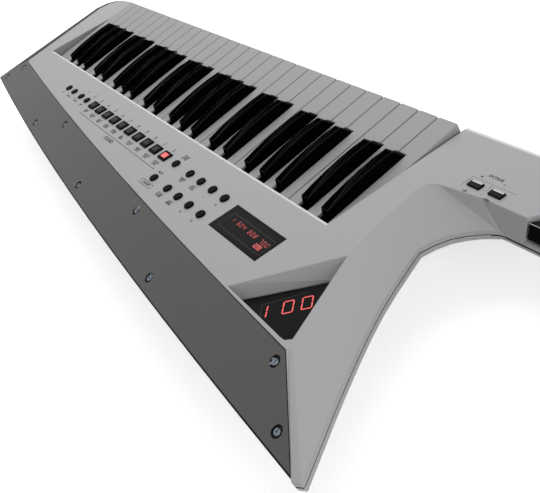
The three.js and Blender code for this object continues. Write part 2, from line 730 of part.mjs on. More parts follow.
function makeTopCover() {
  const drops = ALL_STATIONS.map((station) => station.drop);
  const outer = loft([ringAt(RIM, PARTING_DROP), ringAt(RIM, drops), ringAt(TOPS, 0)]);

  const innerRim = inset(RIM, COVER_WALL);
  const innerTops = inset(TOPS, COVER_WALL / 2);
  const innerDrops = drops.map((drop) => Math.max(drop, PANEL_THICKNESS + EDGE_EASE_DROP));
  const cavity = loft([
    ringAt(innerRim, PARTING_DROP + OVERRUN),
    ringAt(innerRim, innerDrops),
    ringAt(innerTops, PANEL_THICKNESS),
  ]).subtract(bladeBlock(PARTING_DROP, BLADE_THICKNESS + FIT + COVER_WALL, COVER_WALL));
  const high = panelZ(HORN_TIP_Y) + OVERRUN;
  const front = -FRONT_LIP - OVERRUN;
  const slot = box(SLOT_LEFT, SLOT_RIGHT, front, KEY_VISIBLE, -BASE_DEPTH, high);
  const slotWall = box(
    SLOT_LEFT - COVER_WALL,
    SLOT_RIGHT + COVER_WALL,
    front,
    KEY_VISIBLE + COVER_WALL,
    -BASE_DEPTH,
    high,
  );
  const edgeZ = panelZ(KEY_VISIBLE);
  const slotChamfer = profileAlongX([
    [KEY_VISIBLE - OVERRUN, edgeZ - SLOT_EDGE_CHAMFER - OVERRUN],
    [KEY_VISIBLE + SLOT_EDGE_CHAMFER + OVERRUN, edgeZ + OVERRUN],
    [KEY_VISIBLE - OVERRUN, edgeZ + OVERRUN],
  ], SLOT_LEFT, SLOT_RIGHT);

  const barSleeve = panelPrism(inset(barPlan(0, 0), -BAR_WALL), -PARTING_DROP - OVERRUN, 0);
  const barCut = panelPrism(barPlan(0, 0), -PARTING_DROP + BAR_WALL, OVERRUN);
  const octaveWells = [0, 1].map((i) => panelPrism(octaveOutline(i, COVER_WALL), -OCTAVE_BODY - COVER_WALL, 0));
  const hollow = cavity
    .subtract(slotWall)
    .subtract(barSleeve)
    .subtract(recessBlock(RECESS_WALL, 0))
    .subtract(joined(octaveWells));

  let cover = outer
    .subtract(hollow)
    .subtract(slot)
    .subtract(keyPassage())
    .subtract(slotChamfer)
    .subtract(barCut)
    .subtract(recessBlock(0, OVERRUN))
    .subtract(bladeBlock(PARTING_DROP, BLADE_THICKNESS + FIT, FIT));
  const cuts = [
    ...capOutlines(FIT).map((outline) => panelPrism(outline, -PANEL_THICKNESS - OVERRUN, OVERRUN)),
    panelPrism(displayOutline(FIT), -WINDOW_THICKNESS - FIT, OVERRUN),
    panelPrism(inset(recessFloor(), -FIT), -RECESS_DEPTH - WINDOW_THICKNESS, -RECESS_DEPTH + FIT),
    panelPrism(ribbonOutline(FIT), -RIBBON_THICKNESS - FIT, OVERRUN),
    ...[0, 1].map((i) => panelPrism(octaveOutline(i, FIT), -OCTAVE_BODY - FIT, OVERRUN)),
    ...[0, 1].map((i) => panelPrism(octaveOutline(i, OCTAVE_DISH), -OCTAVE_DISH_DEPTH, OVERRUN)),
    barPins(FIT),
  ];
  cuts.forEach((cut) => {
    cover = cover.subtract(cut);
  });
  return cover;
}

// Underside: a flange all round, a deep tray under the keys and a grip under the neck.
function makeBottomCover() {
  const slab = loft([ringAt(RIM, FLANGE_DROP), ringAt(RIM, PARTING_DROP)]);
  const innerRim = inset(RIM, COVER_WALL);
  const slabHole = loft([ringAt(innerRim, FLANGE_DROP + OVERRUN), ringAt(innerRim, PARTING_DROP - OVERRUN)]);

  const frontBass = { rim: [-WAIST_END_X, -FRONT_LIP], floor: [-FLOOR_WAIST_X, -FRONT_LIP + FLOOR_FRONT_INSET] };
  const trayStations = [...BODY_STATIONS, frontBass];
  const trayRim = trayStations.map((station) => station.rim);
  const trayFloor = trayStations.map((station) => station.floor);
  const tray = loft([ringLevel(trayFloor, -BASE_DEPTH), ringAt(trayRim, FLANGE_DROP)]);
  const trayHole = loft([
    ringLevel(inset(trayFloor, COVER_WALL), -BASE_DEPTH + COVER_WALL),
    ringAt(inset(trayRim, COVER_WALL), FLANGE_DROP - OVERRUN),
  ]);

  const neckOutline = (grow) => {
    const front = -FRONT_LIP + grow;
    const rear = NECK_END_EDGE - grow;
    const low = -NECK_HULL_DEPTH + grow;
    const edge = NECK_HULL_CORNER_SHARE * (panelZ(-FRONT_LIP, FLANGE_DROP) + NECK_HULL_DEPTH);
    return [
      [front, panelZ(front, FLANGE_DROP) + grow],
      [front, low + edge],
      [front + edge, low],
      [rear - NECK_HULL_SIDE_CORNER, low],
      [rear - grow, panelZ(rear, FLANGE_DROP) - grow],
      [rear, panelZ(rear, FLANGE_DROP) + grow],
    ];
  };
  const neckRoot = -FLOOR_WAIST_X - NECK_HULL_DEPTH;
  const neck = profileAlongX(neckOutline(0), -NECK_LENGTH, neckRoot);
  const neckHole = profileAlongX(neckOutline(COVER_WALL), -NECK_LENGTH + COVER_WALL, neckRoot + COVER_WALL);
  const shell = joined([slab, tray, neck]).subtract(joined([slabHole, trayHole, neckHole]));
  const { sleeve, bay, jacks } = jackBay();
  const cover = joined([shell, sleeve, ...makeFeet(), ...makeStrapPins()]).subtract(bay);
  return joined([cover, ...jacks]).subtract(doorGrooves());
}

// Recess for the sockets in the tray's floor beside the keys, with a collar round each socket.
function jackBay() {
  const left = SLOT_RIGHT + JACK_BAY_FROM_SLOT;
  const rear = JACK_BAY_Y + (JACK_COUNT - 1) * JACK_PITCH + 2 * JACK_BAY_MARGIN;
  const ceiling = -BASE_DEPTH + JACK_BAY_DEPTH;
  const plan = rectangle(left, left + JACK_BAY_WIDTH, JACK_BAY_Y, rear);
  const jacks = Array.from({ length: JACK_COUNT }, (_, i) => {
    const x = left + JACK_BAY_WIDTH / 2;
    const y = JACK_BAY_Y + JACK_BAY_MARGIN + i * JACK_PITCH;
    const collar = prism(round(x, y, JACK_RADIUS, JACK_SIDES), ceiling - JACK_LENGTH, ceiling + FINE_OVERRUN);
    const hole = prism(round(x, y, JACK_HOLE_RADIUS, JACK_SIDES), ceiling - JACK_LENGTH - OVERRUN, ceiling);
    return collar.subtract(hole);
  });
  return {
    sleeve: prism(inset(plan, -COVER_WALL), -BASE_DEPTH, ceiling + COVER_WALL),
    bay: prism(plan, -BASE_DEPTH - OVERRUN, ceiling),
    jacks,
  };
}

// Grooves that outline the battery door and its finger notch.
function doorGrooves() {
  const door = rectangle(DOOR_X, DOOR_X + DOOR_LENGTH, DOOR_Y, DOOR_Y + DOOR_WIDTH);
  const middle = DOOR_X + DOOR_LENGTH / 2;
  const notch = rectangle(middle - DOOR_NOTCH, middle + DOOR_NOTCH, DOOR_Y, DOOR_Y + DOOR_NOTCH / 2);
  const low = -BASE_DEPTH - OVERRUN;
  const high = -BASE_DEPTH + DOOR_GROOVE;
  const ring = prism(inset(door, -DOOR_GROOVE), low, high).subtract(prism(door, low, high + OVERRUN));
  return ring.add(prism(notch, low, high));
}

function makeFeet() {
  const left = -FLOOR_WAIST_X + FOOT_INSET;
  const right = RIM_RIGHT - FLOOR_TREBLE_INSET - FOOT_INSET;
  const front = FOOT_INSET;
  const rear = FLOOR_REAR_Y - FOOT_INSET;
  const low = -BASE_DEPTH - FOOT_HEIGHT;
  return [[left, front], [right, front], [right, rear], [left, rear]].map(([x, y]) => (
    prism(round(x, y, FOOT_RADIUS, FOOT_SIDES), low, -BASE_DEPTH + FINE_OVERRUN)
  ));
}

// Strap pins: one under the neck's end, one in the treble wall of the tray.
function makeStrapPins() {
  const neckX = -NECK_LENGTH + PIN_FROM_NECK_END;
  const neckY = (NECK_END_EDGE - FRONT_LIP) / 2;
  const neckStem = prism(
    round(neckX, neckY, PIN_STEM_RADIUS, FOOT_SIDES),
    -NECK_HULL_DEPTH - PIN_STEM_LENGTH,
    -NECK_HULL_DEPTH + FINE_OVERRUN,
  );
  const headTop = -NECK_HULL_DEPTH - PIN_STEM_LENGTH;
  const neckHead = prism(round(neckX, neckY, PIN_HEAD_RADIUS, FOOT_SIDES), headTop - PIN_HEAD_LENGTH, headTop);
  const wallX = RIM_RIGHT - FLOOR_TREBLE_INSET / 2;
  const wallZ = (panelZ(PIN_Y, FLANGE_DROP) - BASE_DEPTH) / 2;
  const start = wallX - COVER_WALL;
  const endStem = rodAlongX(PIN_Y, wallZ, PIN_STEM_RADIUS, start, wallX + PIN_STEM_LENGTH, FOOT_SIDES);
  const headStart = wallX + PIN_STEM_LENGTH;
  const endHead = rodAlongX(PIN_Y, wallZ, PIN_HEAD_RADIUS, headStart, headStart + PIN_HEAD_LENGTH, FOOT_SIDES);
  return [neckStem, neckHead, endStem, endHead];
}

function makeBlade() {
  const flange = rectangle(-NECK_LENGTH, RIM_RIGHT + OVERRUN, 0, HORN_TIP_Y + BLADE_FOOT_Y);
  const bandTop = panelPrism(flange, -FLANGE_DROP - OVERRUN, -PARTING_DROP + FIT);
  let blade = bladeBlock(0, BLADE_THICKNESS, 0).subtract(bandTop);
  bladeScrewPlaces().forEach((place) => {
    const pocketFloor = -BLADE_POCKET_DEPTH;
    const pocket = bladePlug(place, BLADE_POCKET_RADIUS, BLADE_SCREW_SIDES, pocketFloor, OVERRUN);
    const screwTop = pocketFloor + BLADE_SCREW_HEIGHT;
    const screw = bladePlug(place, BLADE_SCREW_RADIUS, BLADE_SCREW_SIDES, pocketFloor - FINE_OVERRUN, screwTop);
    const socket = bladePlug(place, BLADE_SOCKET_RADIUS, SOCKET_SIDES, pocketFloor, OVERRUN);
    blade = blade.subtract(pocket).add(screw.subtract(socket));
  });
  return blade;
}

// Silicone mat under the panel with all its button caps.
function makeButtonMat() {
  const top = -PANEL_THICKNESS - FIT;
  const t = (row) => SLOT_EDGE_T + row;
  const halfRow = CAP_DEPTH / 2 + MAT_MARGIN;
  const left = ROUND_FIRST_X - ROUND_CAP_RADIUS - MAT_MARGIN;
  const shortRight = ROUND_LAST_X + ROUND_CAP_RADIUS + MAT_MARGIN;
  const right = SMALL_FIRST_X + SMALL_PAIR_PITCH + SMALL_PITCH + ROUND_CAP_RADIUS + MAT_MARGIN;
  const sheet = panelPrism([
    [left, t(CONTROL_ROW) - halfRow],
    [right, t(CONTROL_ROW) - halfRow],
    [right, t(CONTROL_ROW) + halfRow],
    [shortRight, t(CONTROL_ROW) + halfRow],
    [shortRight, t(LOWER_CONTROL_ROW) + halfRow],
    [left, t(LOWER_CONTROL_ROW) + halfRow],
  ], top - MAT_THICKNESS, top);
  const caps = capOutlines(0).map((outline) => panelPrism(outline, top - MAT_THICKNESS / 2, CAP_RISE));
  return joined([sheet, ...caps]);
}

// Left and right edge of a semitone slot, counted from the lowest key.
function slotEdges(semitone) {
  const octave = Math.floor(semitone / OCTAVE_SEMITONES);
  const within = semitone % OCTAVE_SEMITONES;
  const start = octave * OCTAVE_WHITES * KEY_PITCH;
  const firstWidth = (FIRST_GROUP_WHITES * KEY_PITCH) / FIRST_GROUP_SEMITONES;
  const secondWidth = ((OCTAVE_WHITES - FIRST_GROUP_WHITES) * KEY_PITCH)
    / (OCTAVE_SEMITONES - FIRST_GROUP_SEMITONES);
  const edge = (count) => (count <= FIRST_GROUP_SEMITONES
    ? start + count * firstWidth
    : start + FIRST_GROUP_WHITES * KEY_PITCH + (count - FIRST_GROUP_SEMITONES) * secondWidth);
  return [edge(within), edge(within + 1)];
}

function isBlack(semitone) {
  return BLACK_SEMITONES.includes(semitone % OCTAVE_SEMITONES);
}

function hingeEye(left, right) {
  const radius = HINGE_ROD_RADIUS + FIT;
  return rodAlongX(HINGE_Y, -HINGE_DEPTH, radius, left - OVERRUN, right + OVERRUN);
}

function makeWhiteKey(white, lastSemitone) {
  const octave = Math.floor(white / OCTAVE_WHITES);
  const semitone = octave * OCTAVE_SEMITONES + WHITE_SEMITONES[white % OCTAVE_WHITES];
  const headLeft = white * KEY_PITCH + KEY_GAP / 2;
  const headRight = (white + 1) * KEY_PITCH - KEY_GAP / 2;
  const [slotLeft, slotRight] = slotEdges(semitone);
  const blackLeft = semitone > 0 && isBlack(semitone - 1);
  const blackRight = semitone < lastSemitone && isBlack(semitone + 1);
  const tailLeft = blackLeft ? slotLeft : headLeft;
  const tailRight = blackRight ? slotRight : headRight;
  const outline = [[headLeft, 0], [headRight, 0]];
  if (blackRight) outline.push([headRight, KEY_HEAD], [tailRight, KEY_HEAD]);
  outline.push([tailRight, KEY_VISIBLE], [tailLeft, KEY_VISIBLE]);
  if (blackLeft) outline.push([tailLeft, KEY_HEAD], [headLeft, KEY_HEAD]);

  const hingeLeft = slotLeft + KEY_TAIL_GAP / 2;
  const hingeRight = slotRight - KEY_TAIL_GAP / 2;
  const rear = HINGE_Y + HINGE_EYE_DEPTH;
  const arm = box(hingeLeft, hingeRight, KEY_VISIBLE - KEY_WALL, rear, -KEY_HEIGHT, -KEY_WALL);
  const shell = prism(outline, -KEY_HEIGHT, 0);
  const lip = box(headLeft, headRight, 0, KEY_LIP_THICKNESS, -KEY_LIP_HEIGHT, -KEY_WALL);
  const hollow = prism(inset(outline, KEY_WALL), -KEY_HEIGHT - OVERRUN, -KEY_TOP_THICKNESS);
  const armHollow = box(
    hingeLeft + KEY_WALL,
    hingeRight - KEY_WALL,
    KEY_VISIBLE - KEY_WALL - OVERRUN,
    HINGE_Y - KEY_TAIL_BLOCK / 2,
    -KEY_HEIGHT - OVERRUN,
    -KEY_TOP_THICKNESS - KEY_WALL,
  );
  return joined([shell, lip, arm]).subtract(hollow).subtract(armHollow).subtract(hingeEye(hingeLeft, hingeRight));
}

// Height of a black key's arched top, at a share of its length from the front.
function blackHeight(share) {
  if (share < BLACK_ARCH_SHARE) {
    const rest = 1 - share / BLACK_ARCH_SHARE;
    return BLACK_ARCH_HEIGHT - (BLACK_ARCH_HEIGHT - BLACK_FRONT_HEIGHT) * rest * rest;
  }
  const rest = (share - BLACK_ARCH_SHARE) / (1 - BLACK_ARCH_SHARE);
  return BLACK_ARCH_HEIGHT - (BLACK_ARCH_HEIGHT - BLACK_REAR_HEIGHT) * rest * rest;
}

function makeBlackKey(semitone) {
  const [slotLeft, slotRight] = slotEdges(semitone);
  const left = slotLeft + BLACK_GAP;
  const right = slotRight - BLACK_GAP;
  const middle = (left + right) / 2;
  const halfBase = (right - left) / 2;
  const halfTop = halfBase - BLACK_SIDE_SLOPE;
  const shares = Array.from({ length: BLACK_ARCH_STEPS + 1 }, (_, i) => i / BLACK_ARCH_STEPS);
  const topFront = BLACK_FRONT + BLACK_FRONT_SLOPE;
  const topRear = BLACK_REAR - BLACK_REAR_SLOPE;
  const ring = (half, front, rear, height) => [
    ...shares.map((share) => [half, share]),
    ...[...shares].reverse().map((share) => [-half, share]),
  ].map(([offset, share]) => {
    const y = front + (rear - front) * share;
    return new THREE.Vector3(middle + offset, y, height(share));
  });
  const baseRear = BLACK_REAR;
  const foot = box(left, right, BLACK_FRONT, baseRear, -BLACK_BODY_DEPTH, 0);
  const cap = loft([
    ring(halfBase, BLACK_FRONT, baseRear, () => -FINE_OVERRUN),
    ring(halfTop, topFront, topRear, blackHeight),
  ]);
  const hollow = box(
    left + KEY_WALL,
    right - KEY_WALL,
    BLACK_FRONT + KEY_WALL,
    baseRear - KEY_WALL,
    -BLACK_BODY_DEPTH - OVERRUN,
    -KEY_TOP_THICKNESS,
  );
  const hingeLeft = slotLeft + KEY_TAIL_GAP / 2;
  const hingeRight = slotRight - KEY_TAIL_GAP / 2;
  const rear = HINGE_Y + HINGE_EYE_DEPTH;
  const arm = box(hingeLeft, hingeRight, baseRear - KEY_WALL, rear, -KEY_HEIGHT, -KEY_WALL);
  return joined([foot, cap, arm]).subtract(hollow).subtract(hingeEye(hingeLeft, hingeRight));
}

// Pressed-steel chassis: base sheet, front stop rail, rear wall with a shelf and the hinge rod.
function makeChassis(lastSemitone) {
  const low = -BASE_DEPTH + COVER_WALL + FIT;
  const start = SLOT_LEFT + FIT;
  const end = SLOT_RIGHT - FIT;
  const front = CHASSIS_FRONT_Y;
  const rearWall = CHASSIS_REAR_Y;
  const shelfTop = -KEY_HEIGHT - CHASSIS_SHELF_DROP;
  const shelfRear = HINGE_Y + CHASSIS_LUG_RADIUS;
  const stopTop = -KEY_HEIGHT - Math.tan(THREE.MathUtils.degToRad(KEY_TRAVEL_DEG)) * HINGE_Y;
  const sheet = profileAlongX([
    [front, low],
    [rearWall, low],
    [rearWall, shelfTop - CHASSIS_SHEET],
    [shelfRear, shelfTop - CHASSIS_SHEET],
    [shelfRear, shelfTop],
    [rearWall - CHASSIS_SHEET, shelfTop],
    [rearWall - CHASSIS_SHEET, low + CHASSIS_SHEET],
    [front, low + CHASSIS_SHEET],
  ], start, end);
  const stopRear = CHASSIS_STOP_Y + CHASSIS_STOP_WIDTH;
  const stop = box(start, end, CHASSIS_STOP_Y, stopRear, low + CHASSIS_SHEET / 2, stopTop).subtract(box(
    start - OVERRUN,
    end + OVERRUN,
    CHASSIS_STOP_Y + CHASSIS_SHEET,
    stopRear - CHASSIS_SHEET,
    low + CHASSIS_SHEET,
    stopTop - CHASSIS_SHEET,
  ));
  const rod = rodAlongX(HINGE_Y, -HINGE_DEPTH, HINGE_ROD_RADIUS, start, end);
  const lugs = [];
  const octaves = Math.floor(lastSemitone / OCTAVE_SEMITONES);
  for (let octave = 0; octave <= octaves; octave += 1) {
    const [edge] = slotEdges(octave * OCTAVE_SEMITONES);
    const middle = octave === 0 ? start + CHASSIS_LUG / 2 : edge;
    lugs.push(box(
      middle - CHASSIS_LUG / 2,
      middle + CHASSIS_LUG / 2,
      HINGE_Y - CHASSIS_LUG_RADIUS,
      shelfRear,
      shelfTop - CHASSIS_SHEET / 2,
      -HINGE_DEPTH + CHASSIS_LUG_RADIUS,
    ));
  }
  lugs.push(box(
    end - CHASSIS_LUG,
    end,
    HINGE_Y - CHASSIS_LUG_RADIUS,
    shelfRear,
    shelfTop - CHASSIS_SHEET / 2,
    -HINGE_DEPTH + CHASSIS_LUG_RADIUS,
  ));
  return joined([sheet, stop, rod, ...lugs]);
}

function makeOctaveButton(index) {
  return panelPrism(octaveOutline(index, 0), -OCTAVE_BODY + OCTAVE_TRAVEL + FIT, OCTAVE_RISE);
}

function makeRibbon() {
  return panelPrism(ribbonOutline(0), -RIBBON_THICKNESS, 0);
}

function makeDisplayWindow() {
  return panelPrism(displayOutline(0), -WINDOW_THICKNESS, 0);
}

function makeNumberWindow() {
  const low = -RECESS_DEPTH - WINDOW_THICKNESS + FIT;
  return panelPrism(inset(recessFloor(), FIT), low, -RECESS_DEPTH);
}

// Neck's flank at the neck's end: its y at a drop under the panel.
function flankY(drop) {
  return NECK_RIDGE_END_Y + (NECK_END_EDGE - NECK_RIDGE_END_Y) * (drop / PARTING_DROP);
}

// Pins that the modulation bar tips on, through its lower middle.
function barPins(grow) {
  const y = (NECK_RIDGE_END_Y - BAR_INSET + BAR_THROW + flankY(BAR_BOTTOM_DROP)) / 2;
  const z = panelZ(y, BAR_BOTTOM_DROP - BAR_PIVOT_RADIUS - BAR_SHOULDER);
  const reach = BAR_PIVOT_LENGTH + grow;
  const outline = round(y, z, BAR_PIVOT_RADIUS + grow, HINGE_SIDES);
  return profileAlongNeck(outline, -BAR_START_X - BAR_LENGTH - reach, -BAR_START_X + reach);
}

// Modulation bar: a long rocker whose outer face follows the neck's flank.
function makeModulationBar() {
  const inner = NECK_RIDGE_END_Y - BAR_INSET + BAR_THROW;
  const outerLow = flankY(BAR_BOTTOM_DROP) - BAR_FACE_SET;
  const outerHigh = flankY(BAR_TOP_DROP) - BAR_FACE_SET;
  const outline = [
    [inner, panelZ(inner, BAR_BOTTOM_DROP)],
    [outerLow, panelZ(outerLow, BAR_BOTTOM_DROP)],
    [outerHigh, panelZ(outerHigh, BAR_TOP_DROP)],
    [inner + BAR_SHOULDER, panelZ(inner + BAR_SHOULDER, BAR_TOP_DROP)],
    [inner, panelZ(inner, BAR_TOP_DROP + BAR_SHOULDER)],
  ];
  const bar = profileAlongNeck(outline, -BAR_START_X - BAR_LENGTH, -BAR_START_X);
  return bar.intersect(panelPrism(barPlan(BAR_END_GAP, BAR_THROW), -PARTING_DROP, OVERRUN)).add(barPins(0));
}

const instrument = new THREE.Group();
const centreX = (RIM_RIGHT - NECK_LENGTH) / 2;
const tipY = HORN_TIP_Y + HORN_TIP_WIDTH * Math.SQRT1_2;
const centreY = (tipY - FRONT_LIP) / 2;
instrument.position.set(-centreX, -centreY, BASE_DEPTH + FOOT_HEIGHT);

function addPart(name, body, finish) {
  const mesh = new THREE.Mesh(geometryOf(body), new THREE.MeshStandardMaterial(finish));
  mesh.name = name;
  instrument.add(mesh);
}

const whites = Array.from({ length: WHITE_COUNT }, (_, i) => i);
const lastWhite = WHITE_COUNT - 1;
const lastSemitone = Math.floor(lastWhite / OCTAVE_WHITES) * OCTAVE_SEMITONES
  + WHITE_SEMITONES[lastWhite % OCTAVE_WHITES];

addPart('top_cover', makeTopCover(), SHELL_FINISH);
addPart('bottom_cover', makeBottomCover(), UNDERSIDE_FINISH);
addPart('edge_blade', makeBlade(), BLADE_FINISH);
addPart('key_chassis', makeChassis(lastSemitone), STEEL_FINISH);
addPart('button_mat', makeButtonMat(), RUBBER_FINISH);
addPart('display_window', makeDisplayWindow(), WINDOW_FINISH);
addPart('number_window', makeNumberWindow(), WINDOW_FINISH);
addPart('octave_up_button', makeOctaveButton(0), RUBBER_FINISH);
addPart('octave_down_button', makeOctaveButton(1), RUBBER_FINISH);
addPart('ribbon_controller', makeRibbon(), WINDOW_FINISH);
addPart('modulation_bar', makeModulationBar(), BLACK_FINISH);
whites.forEach((white) => {
  addPart(`white_key_${String(white + 1).padStart(2, '0')}`, makeWhiteKey(white, lastSemitone), WHITE_FINISH);
});
let blackNumber = 0;
for (let semitone = 0; semitone <= lastSemitone; semitone += 1) {
  if (isBlack(semitone)) {
    blackNumber += 1;
    addPart(`black_key_${String(blackNumber).padStart(2, '0')}`, makeBlackKey(semitone), BLACK_FINISH);
  }
}

export default instrument;
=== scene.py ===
"""Shoulder keyboard with a metal blade: finishes, fine edges, controls and prints over the part's frame."""
import functools
import math

import bmesh
import bpy
from bpy.props import FloatProperty, FloatVectorProperty, PointerProperty
from mathutils import Euler, Matrix, Vector


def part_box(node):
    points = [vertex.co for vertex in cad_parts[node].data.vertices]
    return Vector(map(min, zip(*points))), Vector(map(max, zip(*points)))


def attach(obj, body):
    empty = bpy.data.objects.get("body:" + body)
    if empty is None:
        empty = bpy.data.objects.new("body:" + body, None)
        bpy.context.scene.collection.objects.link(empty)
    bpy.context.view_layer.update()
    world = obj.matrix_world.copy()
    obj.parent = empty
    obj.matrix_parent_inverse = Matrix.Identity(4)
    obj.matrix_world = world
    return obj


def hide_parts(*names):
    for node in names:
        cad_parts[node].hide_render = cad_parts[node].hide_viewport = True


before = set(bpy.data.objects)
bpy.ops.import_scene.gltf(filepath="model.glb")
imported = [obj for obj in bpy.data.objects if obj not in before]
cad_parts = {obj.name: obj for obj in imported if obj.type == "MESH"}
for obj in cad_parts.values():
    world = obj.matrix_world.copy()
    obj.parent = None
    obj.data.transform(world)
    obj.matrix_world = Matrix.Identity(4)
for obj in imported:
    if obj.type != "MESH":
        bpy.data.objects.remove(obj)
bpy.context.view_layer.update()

bl_info = {
    "name": "Shoulder keyboard",
    "version": (1, 0, 0),
    "blender": (4, 5, 0),
    "location": "View3D > Sidebar > Keyboard",
    "description": "Builds the finished look of a shoulder keyboard round its frame",
    "category": "Object",
}

BODY = "base"
MM = 0.001

# How the frame's meshes are merged, shaded and rounded
WELD = 2e-6
SLIVER = 0.12 * MM
FLAT_ANGLE = math.radians(0.4)
CREASE_ANGLE = math.radians(10)
EDGE_ANGLE = math.radians(24)
WIDE_FACET = 60 * MM * MM
LEVEL_FACET = 7000 * MM * MM
ROOM_FOR_EDGE = 2.4
CORNER_HEIGHT = 10 * MM
BUMP_DEPTH = 0.1 * MM

# Rounding of the smaller pieces' edges
MAT_EDGE, WINDOW_EDGE, BUTTON_EDGE, BLADE_EDGE, BAR_EDGE = (size * MM for size in (0.2, 0.3, 0.5, 0.5, 1.0))

WHITE_KEYS, BLACK_KEYS = (
    sorted(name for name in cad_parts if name.startswith(kind)) for kind in ("white_key", "black_key")
)

# Pockets of the blade's screws, painted dark as shade: the size of their facets and seats, and how far they
# reach
POCKET_FACET = 60 * MM * MM
SEAT_FACET = 12 * MM * MM
POCKET_REACH = 4.6 * MM

# Places on the panel, in millimetres: x from the bass end of the keys, s from the slot's rear edge
PANEL_TILT = math.radians(7.64)
PANEL_BELOW_KEYS = 5.6
SLOT_REAR = 128.8
PARTING_DROP, LIP = 18, 0.45
HORN_DROP, HORN_ENDS, HORN_CREASE = 14, (-140, -25), math.radians(18)
CHAMFER_WIDTH, CHAMFER_DROP = 2.7, 2.8
NECK_START, NECK_HIGHLIGHT_DROP, NECK_CHAMFER = 2, 9, (-10, 5)
END_START, END_DROP = 700, 25
RECT_CAPS = [227.4 + 22.3 * i for i in range(10)]
ROUND_CAPS = [105.5, 127.65, 149.8, 171.95, 202.5]
SMALL_CAPS = [452.7, 472.9, 497.9, 518.1]
UPPER_ROW, LOWER_ROW = 32.3, 56.2
CAP_FOOT, CAP_ROUNDING = -4.0, 0.2

# The display's face, outline and lit block as boxes of x and s, and the number window's floor, edge and signs
FACE_BOX = (14.0, 84.2, 32.9, 56.0)
OUTLINE_BOX = (14.8, 79.0, 37.4, 53.6)
BLOCK_BOX = (19.0, 28.2, 46.6, 51.0)
NUMBER_FLOOR, NUMBER_READING = -10.0, math.atan2(-0.81, -0.583)
NUMBER_EDGE = ((-33.2, 85.0), (-21.9, 76.8), (-39.6, 48.0))
NUMBER_TENS, TENS_TO_HUNDRED = (-42.0, 200.5 / math.cos(PANEL_TILT)), 19.0

# How near to a plane counts as on it, in millimetres: close, near and loose
CLOSE, NEAR, LOOSE = 0.2, 0.3, 0.7

# Boxes of x and s round the openings, and the length under which an edge counts as a button's rim
OCTAVE_BOX = (-95, -45, -105, -65)
NUMBER_BOX = (-84, -41, 3, 88)
CONTROLS_BOX = (5, 540, 15, 75)
DISPLAY_BOX = (5, 95, 15, 75)
RIM_LENGTH = 16 * MM

# Octave buttons: shares of the solid that the cap takes up, width of the dish's edge, and its plate's heights
OCTAVE_SHARE = (0.84, 0.8, 0.75)
DISH_LAP, DISH_PLATE = 2.7, (-1.3, -0.2)

# Places under the part, in millimetres of its own frame
FEET_BELOW = 2.95
SOCKETS = [(569, -8 - 19 * i) for i in range(5)]
COLLAR_RADIUS, COLLAR_LOW, SOCKET_HOLE_RADIUS = 5.8, 17.5, 3.3
BAY_CEILING = 23.1
PIN_REACH = 8.6
NECK_PIN, NECK_PIN_HIGH = (-604, -108), 18.9
END_PIN, END_PIN_START = (-72, 23.1), 614

# Places of the camera, the lamps and the floor's edge, in metres
CAMERA_PLACE, CAMERA_TURN = (-0.59743, 0.14050, 0.43511), (48.570, 26.315, -123.553)
LAMP_AIM = (0.0, 0.0, 0.05)
LAMPS = (
    ("key_lamp", (1.3, -1.7, 2.06), 4.0, "key_light"),
    ("fill_lamp", (-1.5, 0.2, 0.35), 1.0, "fill_light"),
)
FLOOR_REACH = 4
WHITE = (1, 1, 1, 1)


def key_origin():
    """The lowest key's front bass corner on its top surface, in metres."""
    low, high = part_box(WHITE_KEYS[0])
    half_gap = (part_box(WHITE_KEYS[1])[0].x - high.x) / 2
    return Vector((low.x - half_gap, low.y, high.z))


ORIGIN = key_origin()
PANEL_MATRIX = (
    Matrix.Translation(ORIGIN + Vector((0, 0, -PANEL_BELOW_KEYS * MM)))
    @ Matrix.Rotation(PANEL_TILT, 4, "X")
    @ Matrix.Diagonal((MM, MM, MM, 1))
)
SLOT_T = SLOT_REAR / math.cos(PANEL_TILT)
TO_PANEL = PANEL_MATRIX.inverted()


def on_panel(x, s, height=0.0):
    """Point on the panel: millimetres along it, behind the slot and over it."""
    return PANEL_MATRIX @ Vector((x, SLOT_T + s, height))


def panel_place(point):
    """Millimetres along the panel, behind the slot and over it, of a point in metres."""
    place = TO_PANEL @ point
    return place.x, place.y - SLOT_T, place.z


def lies_in(edge, box, near=CLOSE):
    """True for an edge in the panel's plane with both ends in a box of x and s."""
    left, right, low, high = box
    ends = [panel_place(vert.co) for vert in edge.verts]
    return all(abs(z) < near and left < x < right and low < s < high for x, s, z in ends)


def rectangle(left, right, low, high, start=0.0):
    """Outline of a rectangle, anticlockwise, its depths counted from a start."""
    low, high = start + low, start + high
    return [(left, low), (right, low), (right, high), (left, high)]


def srgb(red, green, blue):
    """Linear colour of a displayed one, 0 to 255."""
    return tuple(
        (c / 255 / 12.92) if c <= 10.3 else ((c / 255 + 0.055) / 1.055) ** 2.4
        for c in (red, green, blue)
    ) + (1.0,)


# ------------------------ settings


def colour(name, description, *shown):
    return FloatVectorProperty(
        name=name, description=description, default=srgb(*shown), subtype="COLOR", size=4, min=0, max=1
    )


def number(name, description, value, least=0, **more):
    return FloatProperty(name=name, description=description, default=value, min=least, **more)


def length(name, description, value):
    return number(name, description, value * MM, unit="LENGTH", precision=5)


